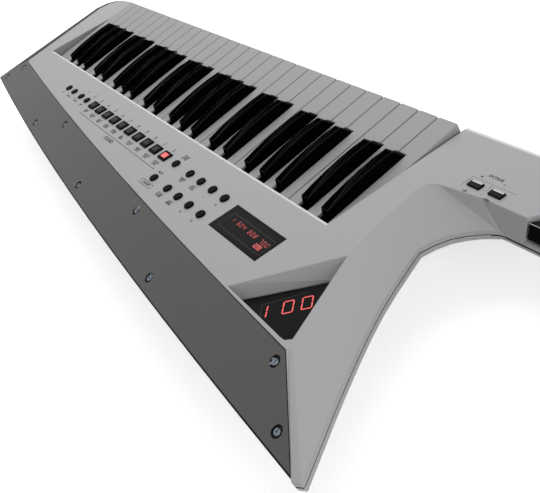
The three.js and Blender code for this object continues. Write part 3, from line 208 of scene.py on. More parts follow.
class KEYBOARD_PG_shell(bpy.types.PropertyGroup):
    edge: length("Edge radius", "Rounding of the housing's edges", 0.7)
    colour: colour("Housing", "Moulded housing", 170, 170, 172)
    # Painted highlight: light colour of the chamfers behind the keys and along the neck
    rim: colour("Slot rim", "Polished chamfer behind the keys", 238, 238, 240)
    under: colour("Underside", "Lower housing", 168, 168, 170)
    # Painted highlight along the neck's far edge: where its band starts
    neck_highlight_start: length("Neck line", "Start of the neck's bright line, before the keys' front", 1.4)
    blade: colour("Blade", "Satin metal blade", 87, 86, 84)
    # Colour of the darker band on the facet along the bass end
    end: colour("End facet", "Dull metal facet along the bass end", 76, 76, 74)
    # Painted highlight along the neck's far edge: its colour
    neck_highlight: colour("Neck line colour", "Bright line along the neck's far edge", 214, 214, 217)
    # Dark rim of the blade; also painted shade in the screw pockets and on the lips of the housing's joint
    blade_rim: colour("Blade rim", "Dark rim of the blade", 34, 34, 34)
    screw: colour("Screws", "Blade screws", 112, 118, 126)
    # Also the painted shade in the socket holes
    foot: colour("Feet", "Rubber feet and socket holes", 26, 26, 27)
    pin: colour("Strap pins", "Steel strap pins and socket collars", 150, 150, 152)
    # Painted shade: the key chassis is made dark so that the gaps between the keys look dark
    chassis: colour("Chassis", "Black-zinc key chassis", 58, 59, 61)


class KEYBOARD_PG_keys(bpy.types.PropertyGroup):
    white_edge: length("White edge radius", "Rounding of the white keys' edges", 0.9)
    white_corner: length("White corner radius", "Rounding of the white keys' front corners", 2.25)
    black_edge: length("Black edge radius", "Rounding of the black keys' edges", 0.6)
    white: colour("White keys", "White key plastic", 168, 168, 170)
    black: colour("Black keys", "Black key plastic", 6, 6, 6)
    # Black key edges: glossier than the flats, and a little lighter as painted highlight
    black_rim: colour("Black key edges", "Polished edges of the black keys", 14, 14, 14)


class KEYBOARD_PG_controls(bpy.types.PropertyGroup):
    cap_width: length("Button width", "Width of the rectangular buttons", 14.2)
    cap_depth: length("Button depth", "Depth of the rectangular buttons", 10.8)
    cap_radius: length("Round button radius", "Radius of the round buttons", 4.3)
    cap_rise: length("Button height", "Height of the buttons over the panel", 1.5)
    cap_edge: length("Button edge", "Rounding of the buttons", 0.5)
    screw_radius: length("Screw radius", "Radius of the blade screws' heads", 2.7)
    socket_radius: length("Socket radius", "Corner radius of the screws' sockets", 1.3)
    rubber: colour("Buttons", "Black button caps", 12, 12, 12)
    lens: colour("Button windows", "Dark button windows", 58, 58, 59)
    red: colour("Lit red", "Lit digits and button", 226, 66, 64)
    dim_red: colour("Dim red", "Lit row of the display", 196, 46, 48)
    glass: colour("Windows", "Dark display windows", 7, 7, 7)
    inner_glass: colour("Display", "Unlit display behind its window", 21, 21, 21)
    outline: colour("Display outline", "Fine line round the display's picture", 56, 56, 56)
    # Painted highlight: light strips on the octave buttons and along the top edge of the bar
    strip: colour("Bright strips", "Strips on the octave buttons and the bar", 190, 190, 192)
    ribbon: colour("Ribbon", "Film of the ribbon", 40, 40, 41)


class KEYBOARD_PG_prints(bpy.types.PropertyGroup):
    ink: colour("Ink", "Printed marks", 40, 40, 43)
    text: length("Legend size", "Height of the printed legends", 3.0)
    weight: number("Legend weight", "Thickening of the letters, as a share of their size", 0.035, max=0.1)


class KEYBOARD_PG_stage(bpy.types.PropertyGroup):
    floor: number("Floor", "Brightness of the pale floor", 0.9, max=1)
    floor_glow: number("Floor glow", "Light that whitens the floor where it is seen", 0.6)
    key_light: number("Key light", "Strength of the large lamp", 86, unit="POWER")
    fill_light: number("Fill light", "Strength of the lamp over the neck", 8, unit="POWER")
    world: number("Surroundings", "Strength of the even light", 0.3)
    lens: number("Lens", "Focal length", 55.2, least=1, unit="CAMERA")


# ------------------------ nodes and finishes

SOCKET_KINDS = {"Colour": "Color", "Geometry": "Geometry", "Turn": "Rotation", "Material": "Material"}


def feed(tree, node, inputs):
    """Gives a node's inputs, by name or number, their values or the sockets that they follow."""
    for key, value in dict(inputs).items():
        if isinstance(value, bpy.types.NodeSocket):
            tree.links.new(value, node.inputs[key])
        else:
            node.inputs[key].default_value = value
    return node


def new_node(tree, kind, inputs=(), **settings):
    node = tree.nodes.new(kind)
    for name, value in settings.items():
        setattr(node, name, value)
    return feed(tree, node, inputs)


def maths(tree, operation, *values):
    """What a math node makes of values or sockets."""
    return new_node(tree, "ShaderNodeMath", enumerate(values), operation=operation).outputs[0]


def new_tree(name, inputs, outputs, kind="ShaderNodeTree"):
    """A node group with its inputs' defaults; a socket is a number, unless its label is in SOCKET_KINDS."""
    tree = bpy.data.node_groups.new(name, kind)
    for way, labels in (("INPUT", inputs), ("OUTPUT", outputs)):
        for label in labels:
            socket = "NodeSocket" + SOCKET_KINDS.get(label, "Float")
            made = tree.interface.new_socket(label, in_out=way, socket_type=socket)
            if way == "INPUT" and inputs[label] is not None:
                made.default_value = inputs[label]
    return tree, tree.nodes.new("NodeGroupInput").outputs, tree.nodes.new("NodeGroupOutput")


@functools.cache
def grain():
    """Fine grain of moulded plastic: a height, and a mask that varies slowly over the surface."""
    tree, given, end = new_tree("moulded_grain", {"Grain": 1400.0, "Cloud": 9.0}, ("Height", "Mask"))
    place = new_node(tree, "ShaderNodeTexCoord").outputs["Object"]
    for label, detail, result in (("Grain", 3, "Height"), ("Cloud", 4, "Mask")):
        inputs = {"Vector": place, "Scale": given[label], "Detail": detail}
        feed(tree, end, {result: new_node(tree, "ShaderNodeTexNoise", inputs).outputs["Fac"]})
    return tree


@functools.cache
def brushed():
    """Fine lines along x: a height and a mask for brushed or drawn metal."""
    tree, given, end = new_tree("brushed_lines", {"Lines": 900.0, "Stretch": 0.03}, ("Height", "Mask"))
    place = new_node(tree, "ShaderNodeTexCoord").outputs["Object"]
    squeeze = new_node(tree, "ShaderNodeCombineXYZ", {"X": given["Stretch"], "Y": 1, "Z": 1}).outputs[0]
    stretch = new_node(tree, "ShaderNodeVectorMath", {0: place, 1: squeeze}, operation="MULTIPLY")
    inputs = {"Vector": stretch.outputs[0], "Scale": given["Lines"], "Detail": 3}
    noise = new_node(tree, "ShaderNodeTexNoise", inputs).outputs["Fac"]
    feed(tree, end, {"Height": noise, "Mask": noise})
    return tree


@functools.cache
def tint():
    """Colour that lightens and darkens a little with a mask, and a roughness that follows it."""
    inputs = {"Colour": (0.5, 0.5, 0.5, 1), "Mask": 0.5, "Amount": 0.06, "Roughness": 0.4, "Spread": 0.08}
    tree, given, end = new_tree("soft_tint", inputs, ("Colour", "Roughness"))
    centred = maths(tree, "SUBTRACT", given["Mask"], 0.5)
    gain = maths(tree, "MULTIPLY_ADD", centred, given["Amount"], 1.0)
    tinted = new_node(tree, "ShaderNodeVectorMath", {0: given["Colour"], "Scale": gain}, operation="SCALE")
    rough = maths(tree, "MULTIPLY_ADD", centred, given["Spread"], given["Roughness"])
    feed(tree, end, {"Colour": tinted.outputs[0], "Roughness": rough})
    return tree


SPECULAR, METAL, GLOW = "Specular IOR Level", "Metallic", "Emission Strength"

# Settings and their colour, roughness, texture and its scale, bump, change of colour, and further sockets
FINISHES = {
    "housing_plastic": ("shell", "colour", 0.45, grain, 1600, 0.06, 0.05, {SPECULAR: 0.2}),
    "underside_finish": ("shell", "under", 0.5, grain, 1100, 0.12, 0.06, {SPECULAR: 0.3}),
    "zinc_plate": ("shell", "chassis", 0.45, brushed, 700, 0.1, 0.2, {METAL: 0.7}),
    "polished_rim": ("shell", "rim", 0.3, grain, 1600, 0.02, 0.03, {}),
    "end_metal": ("shell", "end", 0.7, brushed, 500, 0.03, 0.1, {SPECULAR: 0.02}),
    "foot_rubber": ("shell", "foot", 0.8, grain, 1800, 0.1, 0.2, {}),
    "pin_steel": ("shell", "pin", 0.3, brushed, 900, 0.04, 0.06, {METAL: 1.0}),
    "socket_shade": ("shell", "foot", 0.6, grain, 1800, 0.02, 0.2, {}),
    "seam_shade": ("shell", "blade_rim", 0.7, grain, 1600, 0.02, 0.06, {SPECULAR: 0.05}),
    "satin_blade": ("shell", "blade", 0.48, brushed, 500, 0.03, 0.1, {METAL: 0.5, SPECULAR: 0.2}),
    "blade_rim": ("shell", "blade_rim", 0.5, grain, 1500, 0.02, 0.06, {SPECULAR: 0.1}),
    "screw_steel": ("shell", "screw", 0.28, grain, 2500, 0.05, 0.2, {METAL: 1.0}),
    "white_key_finish": ("keys", "white", 0.45, grain, 900, 0.03, 0.04, {SPECULAR: 0.1}),
    "black_key_finish": ("keys", "black", 0.5, grain, 1200, 0.02, 0.2, {SPECULAR: 0.0}),
    "black_key_rim": ("keys", "black_rim", 0.35, grain, 1200, 0.02, 0.2, {SPECULAR: 0.04}),
    "button_rubber": ("controls", "rubber", 0.55, grain, 2200, 0.08, 0.2, {SPECULAR: 0.02}),
    "gloss_black": ("controls", "rubber", 0.25, grain, 1500, 0.02, 0.2, {SPECULAR: 0.03}),
    "button_window": ("controls", "lens", 0.4, grain, 900, 0.02, 0.3, {SPECULAR: 0.02}),
    "lit_button": ("controls", "red", 0.4, grain, 1400, 0.05, 0.1, {GLOW: 0.7}),
    "bright_strip": ("controls", "strip", 0.3, grain, 900, 0.02, 0.06, {}),
    "ribbon_surface": ("controls", "ribbon", 0.35, brushed, 500, 0.03, 0.3, {SPECULAR: 0.1}),
    "window_glass": ("controls", "glass", 0.2, grain, 600, 0.01, 0.2, {SPECULAR: 0.02}),
    "display_face": ("controls", "inner_glass", 0.3, grain, 800, 0.01, 0.15, {SPECULAR: 0.02}),
    "display_outline": ("controls", "outline", 0.5, grain, 800, 0.01, 0.06, {SPECULAR: 0.1}),
    "lit_segments": ("controls", "red", 0.4, grain, 1400, 0.05, 0.1, {GLOW: 0.55}),
    "dim_segments": ("controls", "dim_red", 0.4, grain, 1400, 0.05, 0.1, {GLOW: 0.3}),
    "panel_ink": ("prints", "ink", 0.6, grain, 1500, 0.02, 0.15, {SPECULAR: 0.2}),
}


@functools.cache
def finish(name):
    """A surface of the list above, made once: colour, roughness and bump follow its texture."""
    settings, paint, roughness, texture, scale, bump, amount, more = FINISHES[name]
    base = tuple(getattr(getattr(bpy.context.scene, "keyboard_" + settings), paint))
    material = bpy.data.materials.new(name)
    material.use_nodes = True
    tree = material.node_tree
    pattern = new_node(tree, "ShaderNodeGroup", {0: scale}, node_tree=texture())
    given = {"Colour": base, "Amount": amount, "Roughness": roughness, "Mask": pattern.outputs["Mask"]}
    tinted = new_node(tree, "ShaderNodeGroup", given, node_tree=tint()).outputs
    relief = {"Strength": bump, "Distance": BUMP_DEPTH, "Height": pattern.outputs["Height"]}
    normal = new_node(tree, "ShaderNodeBump", relief).outputs["Normal"]
    surface = {"Base Color": tinted["Colour"], "Roughness": tinted["Roughness"], "Normal": normal, **more}
    if GLOW in more:
        surface["Emission Color"] = base
    feed(tree, tree.nodes["Principled BSDF"], surface)
    return material


# ------------------------ mesh helpers


def new_object(name, mesh, material):
    mesh.name = name
    mesh.materials.clear()
    mesh.materials.append(material)
    thing = bpy.data.objects.new(name, mesh)
    bpy.context.scene.collection.objects.link(thing)
    return thing


def evaluated_mesh(thing):
    depsgraph = bpy.context.evaluated_depsgraph_get()
    depsgraph.update()
    return bpy.data.meshes.new_from_object(thing.evaluated_get(depsgraph), depsgraph=depsgraph)


def baked(thing):
    """Replaces the object's mesh by what its modifiers make of it."""
    mesh = evaluated_mesh(thing)
    old = thing.data
    thing.modifiers.clear()
    thing.data = mesh
    mesh.name = thing.name
    bpy.data.meshes.remove(old)
    return thing


def stands_out(edge):
    """True for an edge that shows as one: a steep edge, or the crease between two wide facets."""
    if len(edge.link_faces) != 2:
        return False
    turn = edge.calc_face_angle(0)
    wide = all(face.calc_area() > WIDE_FACET for face in edge.link_faces)
    return turn > EDGE_ANGLE or (turn > CREASE_ANGLE and wide)


def room_to_round(edge, width):
    """Share of the full rounding that an edge has room for."""
    near = [line.calc_length() for vert in edge.verts for line in vert.link_edges if line is not edge]
    strips = [2 * face.calc_area() / face.calc_perimeter() for face in edge.link_faces]
    return min(1.0, min(near + strips) / (ROOM_FOR_EDGE * width))


def at_front_corner(edge, front):
    """True for a long upright edge in the plane of a key's front."""
    first, last = (vert.co for vert in edge.verts)
    return max(first.y, last.y) < front + SLIVER and abs(first.z - last.z) > CORNER_HEIGHT


def welded(mesh):
    """Editable copy of a mesh, with its doubled points merged."""
    bm = bmesh.new()
    bm.from_mesh(mesh)
    bmesh.ops.remove_doubles(bm, verts=bm.verts, dist=WELD)
    return bm


def flattened(node):
    """Editable copy of a frame node's mesh, with one face for each flat part."""
    bm = welded(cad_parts[node].data)
    bmesh.ops.dissolve_limit(bm, angle_limit=FLAT_ANGLE, verts=bm.verts, edges=bm.edges)
    return bm


def refined(node, name, paint, edge, segments=2, rim=None, plain=None, soft=None, corner=0.0):
    """A welded copy of a frame node with a finish, and its edges rounded in the rim's finish.

    Edges that a test calls plain stay sharp, and those that it calls soft are shaded as one surface. A corner
    radius rounds the upright edges of a key's front further than the rest.
    """
    widest = max(edge, corner)
    bm = flattened(node)
    bmesh.ops.remove_doubles(bm, verts=bm.verts, dist=SLIVER)
    weights = bm.edges.layers.float.new("bevel_weight_edge")
    front = min(vert.co.y for vert in bm.verts)
    for line in bm.edges:
        if not stands_out(line) or (soft and soft(line)):
            continue
        if corner and line.is_convex and at_front_corner(line, front):
            line[weights] = corner / widest
        elif line.is_convex and not (plain and plain(line)):
            line[weights] = room_to_round(line, edge) * edge / widest
        else:
            line.smooth = False
    for face in bm.faces:
        face.smooth = face.calc_area() < LEVEL_FACET
    mesh = bpy.data.meshes.new(name)
    bm.to_mesh(mesh)
    bm.free()
    if "custom_normal" in mesh.attributes:
        mesh.attributes.remove(mesh.attributes["custom_normal"])
    thing = new_object(name, mesh, finish(paint))
    bevel = thing.modifiers.new("edges", "BEVEL")
    bevel.width = widest
    bevel.segments = segments
    bevel.limit_method = "WEIGHT"
    bevel.use_clamp_overlap = False
    bevel.harden_normals = True
    if rim:
        mesh.materials.append(finish(rim))
        bevel.material = 1
    return baked(thing)


def mesh_of(name, verts, faces, material):
    mesh = bpy.data.meshes.new(name)
    mesh.from_pydata([tuple(v) for v in verts], [], faces)
    mesh.update()
    return new_object(name, mesh, material)


def joined(name, parts, material):
    """One mesh out of (vertices, faces) lists."""
    verts, faces = [], []
    for part_verts, part_faces in parts:
        start = len(verts)
        verts.extend(part_verts)
        faces.extend([tuple(start + i for i in face) for face in part_faces])
    return mesh_of(name, verts, faces, material)


def slab(corners, low, high, matrix=PANEL_MATRIX):
    """A flat plate over a plan outline that runs anticlockwise, on the panel or another plane."""
    count = len(corners)
    verts = [matrix @ Vector((x, y, z)) for z in (low, high) for x, y in corners]
    sides = [(i, (i + 1) % count, count + (i + 1) % count, count + i) for i in range(count)]
    return verts, [tuple(reversed(range(count))), tuple(range(count, 2 * count)), *sides]


def outward(thing):
    """Turns the faces of a closed piece outward."""
    bm = welded(thing.data)
    bmesh.ops.recalc_face_normals(bm, faces=bm.faces)
    bm.to_mesh(thing.data)
    bm.free()
    return thing


def stands_for(thing, body, slot, *nodes):
    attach(thing, body)
    if nodes:
        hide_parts(*nodes)
    return thing


def with_finishes(thing, *names):
    """Adds finishes to a piece and returns the number of the first."""
    first = len(thing.data.materials)
    for name in names:
        thing.data.materials.append(finish(name))
    return first


def piece(name, parts, paint, slot, body=BODY):
    """A piece of its own out of (vertices, faces) lists, with a finish."""
    return stands_for(outward(joined(name, parts, finish(paint))), body, slot)


# ------------------------ geometry node trees


def node_tree(name, *sizes):
    """A geometry tree with an input for each size, the turn and the material; returns its parts."""
    inputs = dict.fromkeys(["Geometry", *sizes, "Turn", "Material"])
    return new_tree(name, inputs, ["Geometry"], kind="GeometryNodeTree")


def raised_steps(tree, base, steps):
    """Raises the one face of an outline in steps of (rise, scale), values or sockets, and closes it below."""
    geometry, top = base, {}
    for rise, scale in steps:
        inputs = {"Mesh": geometry, "Individual": False, "Offset Scale": rise, **top}
        extrude = new_node(tree, "GeometryNodeExtrudeMesh", inputs).outputs
        top = {"Selection": extrude["Top"]}
        inputs = {"Geometry": extrude["Mesh"], "Scale": scale, **top}
        geometry = new_node(tree, "GeometryNodeScaleElements", inputs).outputs["Geometry"]
    floor = new_node(tree, "GeometryNodeFlipFaces", {"Mesh": base})
    both = new_node(tree, "GeometryNodeJoinGeometry", {"Geometry": geometry})
    feed(tree, both, {"Geometry": floor.outputs["Mesh"]})
    merged = {"Geometry": both.outputs["Geometry"], "Distance": WELD}
    return new_node(tree, "GeometryNodeMergeByDistance", merged).outputs["Geometry"]


def placed_on_points(tree, given, end, shape):
    """Copies the shape to each point, turned as the Turn input says, as real faces with the material."""
    copies = {"Points": given["Geometry"], "Instance": shape, "Rotation": given["Turn"]}
    scatter = new_node(tree, "GeometryNodeInstanceOnPoints", copies)
    real = new_node(tree, "GeometryNodeRealizeInstances", {"Geometry": scatter.outputs["Instances"]})
    painted = {"Geometry": real.outputs["Geometry"], "Material": given["Material"]}
    feed(tree, end, {"Geometry": new_node(tree, "GeometryNodeSetMaterial", painted).outputs["Geometry"]})
    return tree


def shrunk(tree, size, edge):
    """(size - edge) / size, as a scale."""
    return maths(tree, "SUBTRACT", 1.0, maths(tree, "DIVIDE", edge, size))


def disc(tree, radius):
    inputs = {"Vertices": 32, "Radius": radius}
    return new_node(tree, "GeometryNodeMeshCircle", inputs, fill_type="NGON").outputs["Mesh"]


def round_cap_tree():
    """Round button: a disc with a rounded rim and a shallow dish."""
    tree, given, end = node_tree("round_cap", "Radius", "Rise", "Edge")
    rim = shrunk(tree, given["Radius"], given["Edge"])
    steps = [(0.22 * MM, 0.965), (0.12 * MM, rim), (-0.05 * MM, 0.8), (-0.09 * MM, 0.6)]
    shape = raised_steps(tree, disc(tree, given["Radius"]), [(given["Rise"], 1.0), *steps])
    return placed_on_points(tree, given, end, shape)


def rectangle_cap_tree():
    """Rectangular button: a block with a stepped edge and a raised middle."""
    tree, given, end = node_tree("rectangle_cap", "Width", "Depth", "Rise", "Edge")
    inputs = {"Vertices X": 2, "Vertices Y": 2, "Size X": given["Width"], "Size Y": given["Depth"]}
    plate = new_node(tree, "GeometryNodeMeshGrid", inputs).outputs["Mesh"]
    rim = shrunk(tree, given["Depth"], given["Edge"])
    steps = [(0.2 * MM, 0.98), (0.1 * MM, rim), (0.0, 0.86), (-0.12 * MM, 0.98)]
    return placed_on_points(tree, given, end, raised_steps(tree, plate, [(given["Rise"], 1.0), *steps]))


def socket_screw_tree():
    """Flat screw head with a rounded rim and a hexagon socket."""
    tree, given, end = node_tree("socket_screw", "Radius", "Rise", "Edge", "Socket")
    rim = shrunk(tree, given["Radius"], given["Edge"])
    steps = [(given["Rise"], 1.0), (0.12 * MM, 0.97), (0.08 * MM, rim)]
    head = raised_steps(tree, disc(tree, given["Radius"]), steps)
    inputs = {"Vertices": 6, "Radius": given["Socket"], "Depth": 2 * MM}
    bore = new_node(tree, "GeometryNodeMeshCylinder", inputs).outputs["Mesh"]
    lift = new_node(tree, "GeometryNodeTransform", {"Geometry": bore, "Translation": (0, 0, 1.45 * MM)})
    inputs = {"Mesh 1": head, "Mesh 2": lift.outputs["Geometry"]}
    cut = new_node(tree, "GeometryNodeMeshBoolean", inputs, operation="DIFFERENCE")
    return placed_on_points(tree, given, end, cut.outputs["Mesh"])


def grown_from_points(name, places, tree, turn, paint, **sizes):
    """Runs a tree on a cloud of points and keeps the result as a plain closed mesh."""
    mesh = bpy.data.meshes.new(name)
    mesh.from_pydata([tuple(p) for p in places], [], [])
    thing = new_object(name, mesh, finish(paint))
    modifier = thing.modifiers.new("grow", "NODES")
    modifier.node_group = tree
    values = {"Turn": turn, "Material": finish(paint), **sizes}
    for item in tree.interface.items_tree:
        if item.in_out == "INPUT" and item.name in values:
            modifier[item.identifier] = values[item.name]
    return outward(baked(thing))


# ------------------------ digits and printed words

DIGIT_SLANT, DIGIT_THICKNESS = 0.1, 0.05
SEGMENTS = {
    "0": "abcdef", "1": "bc", "2": "abged", "3": "abgcd", "4": "fgbc", "5": "afgcd",
    "6": "afgedc", "7": "abc", "8": "abcdefg", "9": "abcfgd", " ": "",
}
SEGMENT_ENDS = {
    "a": ((0, 1), (1, 1)), "b": ((1, 0.5), (1, 1)), "c": ((1, 0), (1, 0.5)), "d": ((0, 0), (1, 0)),
    "e": ((0, 0), (0, 0.5)), "f": ((0, 0.5), (0, 1)), "g": ((0, 0.5), (1, 0.5)),
}

# Rows of words: the words, their places along the panel, the row, and the share of the legends' size
WORD_ROWS = (
    ([str(i % 10) for i in range(1, 13)], [*RECT_CAPS, 451.0, 473.3][::-1], 22.4, 1.9),
    (("UP", "DOWN", "ENTER", "EXIT"), SMALL_CAPS[::-1], 41.4, 1.1),
    ((
        "SYNTH\nLEAD", "SYNTH\nBASS", "PIANO\nKEYS", "ORGAN\nCLAV", "BELL\nVIBES",
        "STRING\nCHOIR", "BRASS\nHORN", "FLUTE\nREED", "GUITAR\nBASS", "DRUM\nKIT",
    ), RECT_CAPS, 43.8, 1.15),
    (("+", "-"), ROUND_CAPS, 41.8, 1.5),
    (("SPLIT\nDUAL", "TEMPO\nTAP"), ROUND_CAPS[2:], 41.8, 1.1),
    ((">", "<"), ROUND_CAPS, 65.6, 1.7),
    (("EDIT\nMENU", "STORE\nNAME"), ROUND_CAPS[2:], 65.6, 1.1),
    (("SOUND",), [327.5], 54.2, 2.1),
    (("ON/OFF",), [202.5], 65.2, 1.3),
    (("TONE\nLEVEL",), [203.0], 21.8, 1.25),
    (("MUTE",), [204.4], 48.4, 1.1),
    (("+",), [-58.7], -95.6, 1.5),
    (("-",), [-79.4], -97.0, 1.5),
    (("OCTAVE",), [-69.0], -99.2, 1.2),
    (("UP",), [-60.0], -78.0, 1.0),
    (("DN",), [-80.6], -78.8, 1.0),
)

# Printed lines: left and right end, row and width
PRINTED_LINES = (
    (219, 431, 49.5, 0.6), (218.7, 219.3, 48.6, 2.0), (430.7, 431.3, 48.6, 2.0),
    (191, 214, 62.6, 0.5), (191, 214, 67.8, 0.5), (191.0, 191.6, 65.2, 5.4), (213.4, 214.0, 65.2, 5.4),
)


def digit_bars(text, width, height, stroke, pitch):
    """Outlines of the lit bars of a row of digits, in the row's own plane."""
    bars = []
    gap = stroke * 0.12
    for place, digit in enumerate(text):
        for segment in SEGMENTS[digit]:
            (x0, y0), (x1, y1) = SEGMENT_ENDS[segment]
            along = Vector((x1 - x0, y1 - y0))
            along.normalize()
            side = Vector((-along.y, along.x))
            first = Vector((x0 * width, y0 * height)) + along * gap
            last = Vector((x1 * width, y1 * height)) - along * gap
            half = stroke / 2
            points = [
                first, first + along * half - side * half, last - along * half - side * half,
                last, last - along * half + side * half, first + along * half + side * half,
            ]
            bars.append([(p.x + p.y * DIGIT_SLANT + place * pitch, p.y) for p in points])
    return bars


def digits(name, text, matrix, sizes, paint, slot):
    """A row of lit digits; the sizes are their width, height, stroke and distance."""
    parts = [slab(bar, 0, DIGIT_THICKNESS, matrix) for bar in digit_bars(text, *sizes)]
    piece(name, parts, paint, slot)


def row_matrix(x, t, height, reading=math.pi):
    """Plane of a printed or lit row: origin at a panel place, reading direction turned on the panel."""
    return PANEL_MATRIX @ Matrix.Translation((x, t, height)) @ Matrix.Rotation(reading, 4, "Z")


# ------------------------ operators


class KEYBOARD_OT_stage(bpy.types.Operator):
    """Camera, lamps and pale floor"""
    bl_idname = "keyboard.stage"
    bl_label = "Stage"

    def execute(self, context):
        scene = context.scene
        settings = scene.keyboard_stage
        camera = bpy.data.objects.new("camera", bpy.data.cameras.new("camera"))
        scene.collection.objects.link(camera)
        scene.camera = camera
        camera.data.lens = settings.lens
        camera.data.sensor_width = 36
        camera.data.clip_start = 0.05
        camera.location = CAMERA_PLACE
        camera.rotation_euler = Euler([math.radians(angle) for angle in CAMERA_TURN], "XYZ")
        scene.view_settings.view_transform = "Standard"
        self.floor(settings)
        self.surroundings(scene, settings)
        for name, place, size, power in LAMPS:
            lamp = bpy.data.objects.new(name, bpy.data.lights.new(name, "AREA"))
            lamp.data.size = size
            lamp.data.energy = getattr(settings, power)
            lamp.location = place
            lamp.rotation_euler = (Vector(LAMP_AIM) - Vector(place)).to_track_quat("-Z", "Y").to_euler()
            scene.collection.objects.link(lamp)
        return {"FINISHED"}

    def floor(self, settings):
        material = bpy.data.materials.new("pale_floor")
        material.use_nodes = True
        tree = material.node_tree
        look = {"Base Color": (*[settings.floor] * 3, 1), "Roughness": 0.9, SPECULAR: 0.1}
        shader = feed(tree, tree.nodes["Principled BSDF"], look)
        gain = maths(tree, "MULTIPLY", self.seen_rays(tree), settings.floor_glow)
        glow = new_node(tree, "ShaderNodeEmission", {"Strength": gain})
        both = new_node(tree, "ShaderNodeAddShader", {0: shader.outputs["BSDF"], 1: glow.outputs["Emission"]})
        feed(tree, tree.nodes["Material Output"], {"Surface": both.outputs["Shader"]})
        corners = [(x, y, 0) for x, y in rectangle(-FLOOR_REACH, FLOOR_REACH, -FLOOR_REACH, FLOOR_REACH)]
        mesh_of("floor", corners, [(0, 1, 2, 3)], material)

    def seen_rays(self, tree):
        """1 for what the eye, a reflection or a window sees, 0 for plain light."""
        path = new_node(tree, "ShaderNodeLightPath").outputs
        seen = path["Is Camera Ray"]
        for label in ("Is Glossy Ray", "Is Transmission Ray"):
            seen = maths(tree, "MAXIMUM", seen, path[label])
        return seen

    def surroundings(self, scene, settings):
        scene.world = world = bpy.data.worlds.new("surroundings")
        world.use_nodes = True
        tree = world.node_tree
        even = feed(tree, tree.nodes["Background"], {"Color": WHITE, "Strength": settings.world})
        seen = new_node(tree, "ShaderNodeBackground", {"Color": WHITE})
        inputs = {"Fac": self.seen_rays(tree), 1: even.outputs[0], 2: seen.outputs[0]}
        mix = new_node(tree, "ShaderNodeMixShader", inputs)
        feed(tree, tree.nodes["World Output"], {"Surface": mix.outputs[0]})


